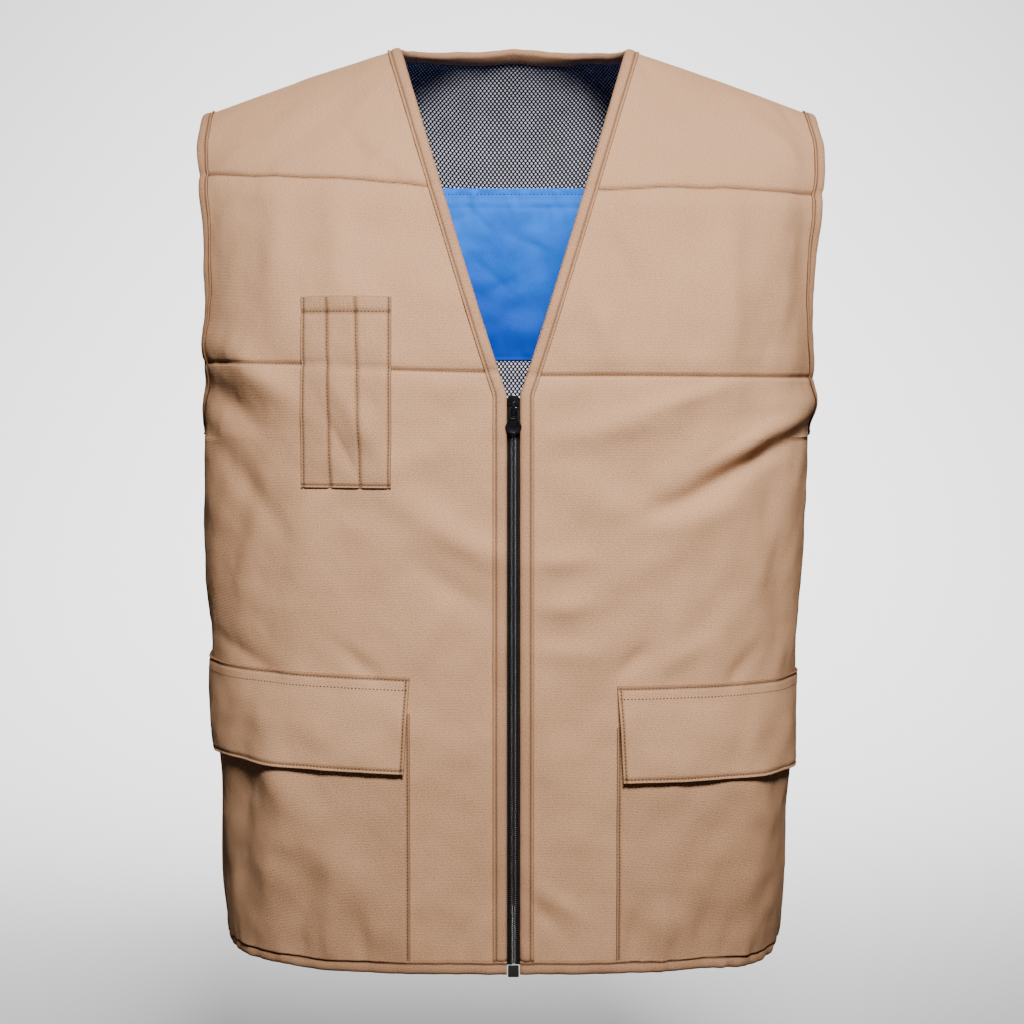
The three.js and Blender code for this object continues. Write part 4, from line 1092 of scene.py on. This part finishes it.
hip = {"front": 73.4, "bottom": 7.6, "drop": 29, "bulge": 2.4, "bulgeSpan": 0.82, "edgeStitch": 1.9, "pitch": 3.4}
flap = {
    "front": 75, "height": 68, "top": {"right": 211.5, "left": 201.5},
    "lean": {"right": (-3.4, 3.6), "left": (0.4, 1.4)}, "tiltTop": -1.5, "tiltLow": 2.2, "opening": 2.6,
    "closedEnd": 60, "frontLift": {"right": 1.2, "left": 2.4}, "frontFade": 16, "topStitches": (2.3, 9.2),
    "edgeStitch": 2.4, "rootHeight": 2.45, "rootTurn": 26, "overHeight": 4.6, "pitch": 3.2,
}
patchUneven = waves(21, 18, 70)
for hand, handName in bothSides:
    name, flapTop = handName.capitalize(), flap["top"][handName]
    mouth = flapTop - hip["drop"]
    heights = hip["bottom"] + crowded(mouth - hip["bottom"], hip["pitch"])
    pocket = patchCloth(hand, heights, hip["front"], None, hip["pitch"])
    length = float(pocket["across"][0, -1])
    rise, inward = pocket["up"] / (mouth - hip["bottom"]), pocket["across"] / length
    swell = hip["bulge"] * np.sin(np.pi * rise * hip["bulgeSpan"]) * np.sin(np.pi * np.clip(inward, 0, 1))
    swell = swell + 0.5 * patchUneven(pocket["across"] + 400 * (hand + 1), pocket["up"]) * np.sin(np.pi * inward)
    swell = np.maximum(0, swell)
    groove = grooves(pocket["across"] - hip["edgeStitch"])
    low = layers["pocketLow"] + swell
    high = low + layers["pocketWall"] + groove
    piece = finished(clothPiece("hipPocket" + name, flatten(pocket), low.ravel(), high.ravel(), True,
                                patchPaintedShade(pocket, groove)), "pocket",
                     nodes=("lower_pocket_" + handName,))
    (mouth - hip["bottom"]) / 1000
    "shell" + name
    sewOn(pocket, high, [((0, hip["edgeStitch"]), (mouth - hip["bottom"] - 1, hip["edgeStitch"]))])
    flapLow = flapTop - flap["height"]
    heights = flapLow + crowded(flap["height"], flap["pitch"])
    cover = patchCloth(hand, heights, flap["front"], None, hip["pitch"], flap["tiltTop"], flap["tiltLow"],
                       flap["lean"][handName])
    length = float(cover["across"][0, -1])
    down = flap["height"] - cover["up"]
    inward = cover["across"] / length
    rise = (cover["up"] + flapLow - hip["bottom"]) / (mouth - hip["bottom"])
    swell = hip["bulge"] * np.sin(np.pi * np.clip(rise, 0, 1.2) * hip["bulgeSpan"]) * np.sin(np.pi * inward)
    swell = np.maximum(0, swell) * smoothstep(4, 40, down)
    drop = down / flap["height"]
    root = smoothstep(0, flap["rootTurn"], down)
    low = flap["rootHeight"] + (flap["overHeight"] - flap["rootHeight"]) * root + swell
    closing = 1 - 0.9 * smoothstep(length - flap["closedEnd"], length, cover["across"])
    low = low + flap["opening"] * drop ** 2 * closing
    low = low + 0.5 * patchUneven(cover["across"], cover["up"] + 300) * drop
    ajar = np.exp(-cover["across"] / flap["frontFade"]) * np.sin(np.pi * np.clip(drop, 0, 1)) ** 1.5
    low = low + flap["frontLift"][handName] * ajar
    groove = sum(grooves(down - at) for at in flap["topStitches"])
    groove = groove + grooves(cover["across"] - flap["edgeStitch"]) * (down > 3)
    groove = groove + grooves(cover["up"] - flap["edgeStitch"])
    high = low + layers["flapWall"] + groove
    piece = finished(clothPiece("flap" + name, flatten(cover), low.ravel(), high.ravel(), True,
                                patchPaintedShade(cover, groove)), "shell",
                     nodes=("pocket_flap_" + handName,))
    "shell" + name
    full = flap["height"]
    lines = [((full - at, 0.8), (full - at, length - 1)) for at in flap["topStitches"]]
    lines.append(((flap["edgeStitch"], flap["edgeStitch"]), (full - 1.2, flap["edgeStitch"])))
    lines.append(((flap["edgeStitch"], flap["edgeStitch"]), (flap["edgeStitch"], length - 1)))
    sewOn(cover, high, lines)
print("hip pockets done", flush=True)

pen = {
    "front": 86, "side": 150, "bottom": 342, "top": 477, "hem": 10.5, "edgeStitch": 1.9, "bulge": 1.6, "mouth": 0.8,
    "rowPitch": 3, "pitch": 0.9, "dividers": ((22, 25.5), (44, 46.5)), "divided": 1.3, "dividerHalf": 1.3,
}
heights = pen["bottom"] + crowded(pen["top"] - pen["bottom"], pen["rowPitch"])
pocket = patchCloth(right, heights, pen["front"], pen["side"], pen["pitch"])
length = float(pocket["across"][0, -1])
tall = pen["top"] - pen["bottom"]
rise, inward = pocket["up"] / tall, pocket["across"] / length
dividing = 0 * rise
for low, high in pen["dividers"]:
    place = low + (high - low) * rise
    dividing = dividing - np.exp(-np.abs((pocket["across"] - place) / pen["dividerHalf"]) ** 1.5)
swell = pen["bulge"] * np.sin(np.pi * np.clip(inward, 0, 1)) ** 0.6 * smoothstep(0, 0.12, rise)
swell = np.maximum(0, swell + pen["mouth"] * smoothstep(0.93, 1, rise)) + pen["divided"] * dividing
groove = grooves(pocket["up"] - (tall - pen["hem"])) + grooves(pocket["across"] - pen["edgeStitch"])
groove = groove + grooves(pocket["across"] - (length - pen["edgeStitch"])) + grooves(pocket["up"] - pen["edgeStitch"])
low = layers["pocketLow"] + swell
high = low + layers["pocketWall"] + groove
# Painted shade along the stitch grooves, the dividers and the outline
penPocket = finished(clothPiece("penPocket", flatten(pocket), low.ravel(), high.ravel(), True,
                                patchPaintedShade(pocket, groove + 0.7 * dividing)), "pocket",
                     nodes=("pen_pocket",))
edge = pen["edgeStitch"]
lines = [((tall - pen["hem"], edge), (tall - pen["hem"], length - edge)), ((edge, edge), (edge, length - edge))]
lines += [((edge, at), (tall - 0.8, at)) for at in (edge, length - edge)]
lines += [((edge, lowAt), (tall - pen["hem"], highAt)) for lowAt, highAt in pen["dividers"]]
sewOn(pocket, high, lines)


# The stitched lines across the chest, on both fronts and on the back
def chestStitch(face, hand, line, xFrom, xTo):
    x = np.linspace(xFrom, xTo, 160)
    z = chestHeight(line, hand * x)
    cloth = surfaceAcross(face, hand, levelAt(face, hand, z, x), x)
    sewn(raised(cloth, layers["shellOut"] + 0.08), cloth["normal"])


for hand, handName in bothSides:
    for line in chestLines:
        start, end = line["start"][handName], line["end"]
        if hand == right and line is chestLines[1]:
            chestStitch(front, hand, line, start, pen["front"] - 1)
            chestStitch(front, hand, line, pen["side"] + 1, end)
        else:
            chestStitch(front, hand, line, start, end)
        chestStitch(back, hand, line, 1, end)
print("chest done", flush=True)

# Cooling panel: soft, with puckers at its sewn edges, small creases and one long one under its top
cooling = {
    "half": 158, "bottom": 431, "top": 566.5, "wall": 1.1, "columns": 150, "pitch": 2.2, "puff": 3.0, "puffEdge": 26,
    "waveHeight": 0.5, "topPucker": (1.1, 16), "lowPucker": (0.7, 12), "seat": 0.15, "topHem": 4.4, "edgeStitch": 3.0,
    "foldAt": 11, "foldSlope": 0.03, "foldDepth": 2.2, "foldHalf": 3.2, "stitchHalf": 0.9, "stitchPitch": 3.0,
    "creaseCount": 46, "creaseRanges": (
        (-150, 150), (8, 122), (-50, 50), (7, 26), (1.6, 3.6), (-1.6, 1.0), (1, 1)),
}
coolingWaves = waves(31, 16, 46)
puckers = waves(33, 7, 22, lean=0)
tall = cooling["top"] - cooling["bottom"]
heights = cooling["bottom"] + crowded(tall, cooling["pitch"])
x = np.linspace(-cooling["half"], cooling["half"], cooling["columns"])
hands = np.where(x < 0, right, left)[None] + 0 * heights[:, None]
levels = levelAt(back, hands, heights[:, None] + 0 * x[None], np.abs(x)[None] + 0 * heights[:, None])
shares = shareAt(clothRow(back, hands, levels), np.abs(x)[None] + 0 * levels)
patch = surface(back, hands, levels, shares)
patch["map"] = flatMap(patch["point"], cooling["columns"] // 2)
patch["shape"] = shares.shape
patch["up"] = (heights - heights[0])[:, None] + 0 * shares
patch["across"] = running(patch["point"], 1)
up = patch["up"]
wideX = x[None] + 0 * up
edgeAway = np.minimum(np.minimum(up, tall - up), np.minimum(x + cooling["half"], cooling["half"] - x)[None])
swell = cooling["puff"] * smoothstep(0, cooling["puffEdge"], edgeAway)
swell = swell + cooling["waveHeight"] * coolingWaves(wideX, up) * smoothstep(0, 20, edgeAway)
for (height, fade), place, away in ((cooling["topPucker"], wideX, tall - up), (cooling["lowPucker"], wideX + 90, up)):
    swell = swell + height * puckers(place, up) * np.exp(-away / fade) * smoothstep(0, 5, edgeAway)
pick = np.random.default_rng(12)
creases = [pick.uniform(*ends, cooling["creaseCount"]) for ends in cooling["creaseRanges"]]
creases = dict(zip(("x", "z", "lean", "reach", "spread", "lift", "sharp"), creases))
swell = swell + foldsAt(creases, wideX, up) * smoothstep(0, 10, edgeAway)
crease = up - (tall - cooling["foldAt"] - cooling["foldSlope"] * x[None])
swell = swell - cooling["foldDepth"] * np.exp(-(crease / cooling["foldHalf"]) ** 2) * smoothstep(0, 20, edgeAway)
swell = np.maximum(0, swell)
groove = -grooves(tall - up - cooling["topHem"], 0.5, cooling["stitchHalf"])
groove = groove - grooves(up - cooling["edgeStitch"], 0.4, cooling["stitchHalf"])
outer = layers["coolingOut"] - cooling["seat"] - swell
inner = outer - cooling["wall"] + groove
coolingPanel = finished(clothPiece("coolingPanel", flatten(patch), inner.ravel(), outer.ravel(), True), "cooling",
                        nodes=("cooling_panel",))
wide = float(patch["across"][0, -1])
patch["across"] = patch["across"][:1] + 0 * patch["across"]
for height in (tall - cooling["topHem"], cooling["edgeStitch"]):
    t = np.linspace(2, wide - 2, 300)
    line, normals = lineOn(patch, inner, height + 0 * t, t)
    sewn(line - normals * 0.1, -normals, "coolingThread", cooling["stitchPitch"])
print("cooling panel done", flush=True)

# Zip: tapes behind the front edges, and coils of bent wire that mesh at the middle
zipSizes = {"tapeFront": 0.9, "tapeWidth": 12, "bottom": -1.1, "top": 404.3, "pitch": 1.5, "wire": 0.35,
            "coilOut": 3.3, "coilIn": -0.35, "coilBase": -2.35, "coilTop": 0.1}


def centreLine(heights, hand, x):
    return surfaceAcross(front, hand, levelOf(heights, front), x + 0 * heights)


for hand, handName in bothSides:
    heights = np.linspace(zipSizes["bottom"], zipSizes["top"], 130)
    xs = np.linspace(zipSizes["tapeFront"], zipSizes["tapeFront"] + zipSizes["tapeWidth"], 7)
    parts = [centreLine(heights, hand, x) for x in xs]
    tape = {key: np.stack([part[key] for part in parts], axis=1) for key in ("point", "normal", "lift")}
    tape["map"] = flatMap(tape["point"], 0)
    tape["shape"] = tape["lift"].shape
    piece = clothPiece("zipTape" + handName.capitalize(), flatten(tape), layers["tapeIn"], layers["tapeOut"])
    finished(piece, "tape", nodes=("zip_tape_" + handName,))
    heights = np.arange(zipSizes["bottom"] + 0.8, zipSizes["top"] - 15, zipSizes["pitch"])
    shift = 0.0 if hand == right else zipSizes["pitch"] / 2
    base = centreLine(heights + shift, hand, 0.5)
    path = []
    low, high = zipSizes["coilBase"], zipSizes["coilTop"]
    inX, outX = zipSizes["coilIn"], zipSizes["coilOut"]
    for across, tallness, along in (
            (outX, low + 0.5, 0.0), (outX - 0.5, high - 0.5, 0.05), (outX - 1.1, high - 0.1, 0.1),
            (1.2, high, 0.2), (inX + 0.6, high - 0.3, 0.3), (inX, (low + high) / 2, 0.4),
            (inX + 0.6, low + 0.4, 0.5), (1.6, low + 0.15, 0.7), (outX - 0.6, low + 0.1, 0.9)):
        place = base["point"] * (0, 1, 1) + base["normal"] * (base["lift"] + tallness)[:, None]
        place[:, 0] = hand * across
        place[:, 2] += along * zipSizes["pitch"] * 0.8
        path.append(place)
    path = np.stack(path, axis=1)
    direction = unit(np.gradient(path, axis=1))
    side = unit(np.cross(direction, np.array((0.0, 0.0, 1.0)) + 0 * direction))
    rise = np.cross(side, direction)
    turnsRound = np.arange(5) * 2 * np.pi / 5
    ring = (side[:, :, None] * np.cos(turnsRound)[:, None] + rise[:, :, None] * np.sin(turnsRound)[:, None])
    tube = path[:, :, None] + ring * zipSizes["wire"]
    loops, steps, sides = tube.shape[:3]
    index = np.arange(loops * steps * sides).reshape(loops, steps, sides)
    index = np.concatenate([index, index[:, :, :1]], axis=2)
    faces = [face for loop in index for face in gridFaces(loop).tolist()]
    for loop in index:
        faces += [loop[0, :-1].tolist(), loop[-1, :-1][::-1].tolist()]
    finished(newObject("zipCoil" + handName.capitalize(), tube.reshape(-1, 3), faces), "coil",
             nodes=("zip_coil_" + handName,))
print("zip done", flush=True)

# Slider, pull and bottom box
sliderTop = neck["zipHeight"] + 0.3
slider = {
    "length": 19, "half": 4.2, "tail": 3.2, "plate": 1.5, "bridgeWidth": 2.2, "bridgeLength": 9, "bridgeWall": 1.1,
    "clothDepth": 132.53, "clothWall": 3.3, "gap": 0.3, "sink": 0.2, "postWidth": 2.4, "postLength": 3.7,
}
pull = {
    "wall": 1.2, "bar": 1.3, "window": 6.2, "length": 18.6, "neckHalf": 3.5, "endHalf": 5.9, "gap": 0.4,
    "standoff": 1.1, "dentHalf": 4.6,
}
hingeHeight = sliderTop - slider["length"] / 2
clothY = torso["shoulderSet"] - slider["clothDepth"]
plateBack = clothY - slider["sink"] - slider["gap"]
plateFront = plateBack - slider["plate"]
hingeY = clothY - slider["clothWall"] - pull["standoff"] - pull["wall"] / 2


def placed(point):
    x, y, z = point
    return Vector((x, y - torso["shoulderSet"], z - torso["seatHeight"])) / 1000


def cubePiece(name, size, centre):
    bpy.ops.object.select_all(action="DESELECT")
    bpy.ops.mesh.primitive_cube_add(size=1, location=placed(centre))
    made = bpy.context.object
    made.name = name
    made.scale = [value / 1000 for value in size]
    bpy.ops.object.transform_apply(location=True, rotation=True, scale=True)
    return made


# A flat plate with an outline in width and height
def platePiece(name, outline, near, far):
    bpy.ops.object.select_all(action="DESELECT")
    bpy.ops.mesh.primitive_circle_add(vertices=len(outline), radius=1, fill_type="NGON")
    made = bpy.context.object
    made.name = name
    for vertex, (x, z) in zip(made.data.vertices, outline):
        vertex.co = placed((x, near, z))
    bpy.ops.object.mode_set(mode="EDIT")
    bpy.ops.mesh.select_all(action="SELECT")
    bpy.ops.mesh.extrude_region_move(TRANSFORM_OT_translate={"value": (0, (far - near) / 1000, 0)})
    bpy.ops.mesh.select_all(action="SELECT")
    bpy.ops.mesh.normals_make_consistent(inside=False)
    bpy.ops.object.mode_set(mode="OBJECT")
    return made


def applied(obj, kind, **settings):
    bpy.ops.object.select_all(action="DESELECT")
    obj.select_set(True)
    bpy.context.view_layer.objects.active = obj
    modifier = obj.modifiers.new("work", kind)
    for name, value in settings.items():
        setattr(modifier, name, value)
    bpy.ops.object.modifier_apply(modifier="work")
    return obj


def softened(obj, width, segments=3):
    applied(obj, "BEVEL", width=width / 1000, segments=segments, limit_method="ANGLE", angle_limit=math.radians(35))
    bpy.ops.object.shade_smooth_by_angle(angle=math.radians(40))
    return obj


def cut(obj, tool):
    applied(obj, "BOOLEAN", operation="DIFFERENCE", object=tool, solver="EXACT")
    bpy.data.objects.remove(tool, do_unlink=True)
    return obj


def grouped(name, parts):
    bpy.ops.object.select_all(action="DESELECT")
    for part in parts:
        part.select_set(True)
    bpy.context.view_layer.objects.active = parts[0]
    bpy.ops.object.join()
    parts[0].name = name
    return parts[0]


def sliderOutline():
    middle, half = sliderTop - slider["length"] / 2, slider["length"] / 2
    wideHalf, tailHalf = slider["half"], slider["tail"]
    top = [(wideHalf * math.cos(a), middle + half - 3.2 + 3.0 * math.sin(a)) for a in np.linspace(0, math.pi, 13)]
    low = [(-tailHalf, middle - half + 1.6), (-tailHalf + 0.9, middle - half + 0.4), (0, middle - half),
           (tailHalf - 0.9, middle - half + 0.4), (tailHalf, middle - half + 1.6)]
    return top + low


deepIn = clothY + slider["clothWall"] + slider["gap"]
frontPlate = softened(platePiece("frontPlate", sliderOutline(), plateFront, plateBack), 0.45)
backPlate = softened(platePiece("backPlate", sliderOutline(), deepIn, deepIn + slider["plate"]), 0.4)
post = cubePiece("post", (slider["postWidth"], deepIn - plateBack + 0.6, slider["postLength"]),
                 (0, (deepIn + plateBack) / 2, sliderTop - 2))
bridgeInside = hingeY - pull["bar"] / 2 - pull["gap"]
bridgeOutside = bridgeInside - slider["bridgeWall"]
bridge = cubePiece("bridge", (slider["bridgeWidth"], plateFront - bridgeOutside + 0.3, slider["bridgeLength"]),
                   (0, (plateFront + 0.3 + bridgeOutside) / 2, hingeHeight))
hollow = cubePiece("hollow", (6, plateFront - bridgeInside, slider["bridgeLength"] - 2.2),
                   (0, (plateFront + bridgeInside) / 2, hingeHeight))
bridge = softened(cut(bridge, hollow), 0.35)
zipSlider = grouped("zipSlider", [frontPlate, backPlate, softened(post, 0.2, 2), bridge])
finished(zipSlider, "metal", nodes=("zip_slider",))


def pullOutline():
    top = hingeHeight + pull["bar"] / 2
    neckLow = hingeHeight - pull["bar"] / 2 - pull["window"] - pull["bar"]
    end = hingeHeight - pull["length"]
    wideAt = end + pull["endHalf"]
    side = [(pull["neckHalf"] - 0.7, top), (pull["neckHalf"], top - 0.8), (pull["neckHalf"], neckLow)]
    turns = np.linspace(0, math.pi / 2, 9)
    curve = [(pull["endHalf"] * math.cos(a), wideAt - pull["endHalf"] * math.sin(a)) for a in turns]
    half = side + curve
    return half + [(-x, z) for x, z in half[::-1][1:]]


pullPlate = platePiece("zipPull", pullOutline(), hingeY - pull["wall"] / 2, hingeY + pull["wall"] / 2)
windowHigh = hingeHeight - pull["bar"] / 2
window = cubePiece("window", (slider["bridgeWidth"] + 2 * pull["gap"], 6, pull["window"]),
                   (0, hingeY, windowHigh - pull["window"] / 2))
pullPlate = softened(cut(pullPlate, window), 0.3)
dentMiddle = hingeHeight - pull["length"] + pull["endHalf"]
dent = platePiece("dent", [(pull["dentHalf"] * math.cos(a), dentMiddle + pull["dentHalf"] * math.sin(a))
                           for a in np.linspace(0, 2 * math.pi, 33)[:-1]],
                  hingeY - pull["wall"], hingeY - pull["wall"] / 2 + 0.5)
pullPlate = softened(cut(pullPlate, dent), 0.12, 2)
finished(pullPlate, "metal", body="pull", nodes=("zip_pull",))

hemToSeat = np.array((0, torso["shoulderSet"], torso["seatHeight"]))
low, high = (np.array(corner) * 1000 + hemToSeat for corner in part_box("zip_retainer"))
box = cubePiece("zipRetainer", high - low, (low + high) / 2)
finished(softened(box, 0.6), "tape", nodes=("zip_retainer",))

finished(stitchObject("seamStitches", stitchRows["thread"]), "thread")
finished(stitchObject("coolingStitches", stitchRows["coolingThread"]), "coolingThread")
print("hard pieces and stitches done", flush=True)

# Stage, light and camera, in metres
studio = {
    "tone": 0.86, "roughness": 0.9, "floorSide": 14, "floorDepth": -0.86, "backdrop": 3.5, "bend": 1.6,
    "backdropHeight": 2.4, "backdropHalf": 1.15, "sweepFront": 2, "sweepLift": 0.001, "worldStrength": 0.035,
}
lights = {
    "key": {"power": 6.9, "size": (0.7, 0.6), "place": (0.28, -2.15, 1.4), "target": (0.01, 0, -0.26), "spread": 36},
    "rear": {"power": 6, "size": (1.2, 0.8), "place": (-0.3, 2.3, 1.2), "target": (0, 0, -0.3), "spread": 60},
    "backdrop": {"power": 110, "size": (2.0, 0.6), "place": (0, 1.5, 1.7), "target": (0, 2.8, -0.4), "spread": 110},
}
lens = {"length": 105.5, "sensor": 36, "place": (-0.001, -2.255, -0.208), "down": 3.15}

pale = bpy.data.materials.new("paleStage")
pale.use_nodes = True
pale.node_tree.nodes["Principled BSDF"].inputs["Base Color"].default_value = colour([studio["tone"]] * 3)
pale.node_tree.nodes["Principled BSDF"].inputs["Roughness"].default_value = studio["roughness"]
bpy.ops.object.select_all(action="DESELECT")
bpy.ops.mesh.primitive_plane_add(size=studio["floorSide"], location=(0, 0, studio["floorDepth"]))
floor = bpy.context.object
floor.name = "floor"
bpy.ops.object.transform_apply(location=True, rotation=True, scale=True)
floor.data.materials.append(pale)

# The backdrop leaves the floor in a curve and rises behind the vest
bend = np.radians(np.linspace(0, 90, 25))
profile = [(-studio["sweepFront"], 0)]
profile += [(studio["backdrop"] - studio["bend"] * (1 - math.sin(a)), studio["bend"] * (1 - math.cos(a))) for a in bend]
profile.append((studio["backdrop"], studio["backdropHeight"]))
sweep = bpy.data.meshes.new("backdrop")
sweepLow = studio["floorDepth"] + studio["sweepLift"]
corners = [(side * studio["backdropHalf"], y, sweepLow + z) for y, z in profile for side in (-1, 1)]
sweep.from_pydata(corners, [], [(2 * k, 2 * k + 1, 2 * k + 3, 2 * k + 2) for k in range(len(profile) - 1)])
sweep.polygons.foreach_set("use_smooth", [True] * len(sweep.polygons))
sweep.materials.append(pale)
backdrop = bpy.data.objects.new("backdrop", sweep)
bpy.context.scene.collection.objects.link(backdrop)
# As a flagged studio: the bright sweep shows, and sends no light back on the vest's sides
backdrop.visible_diffuse = False

world = bpy.data.worlds.new("studioAir")
bpy.context.scene.world = world
world.use_nodes = True
world.node_tree.nodes["Background"].inputs["Color"].default_value = (1, 1, 1, 1)
world.node_tree.nodes["Background"].inputs["Strength"].default_value = studio["worldStrength"]


def areaLight(name, power, size, place, target, spread):
    light = bpy.data.lights.new(name, "AREA")
    light.shape = "RECTANGLE"
    light.size, light.size_y = size
    light.energy = power
    light.spread = math.radians(spread)
    obj = bpy.data.objects.new(name, light)
    obj.location = place
    obj.rotation_euler = (Vector(target) - Vector(place)).to_track_quat("-Z", "Y").to_euler()
    bpy.context.scene.collection.objects.link(obj)
    return obj


for name, settings in lights.items():
    areaLight(name + "Light", **settings)

camera = bpy.data.cameras.new("camera")
camera.lens = lens["length"]
camera.sensor_width = lens["sensor"]
view = bpy.data.objects.new("camera", camera)
view.location = lens["place"]
view.rotation_euler = (math.radians(90 - lens["down"]), 0, 0)
bpy.context.scene.collection.objects.link(view)
bpy.context.scene.camera = view

print("stage done", flush=True)
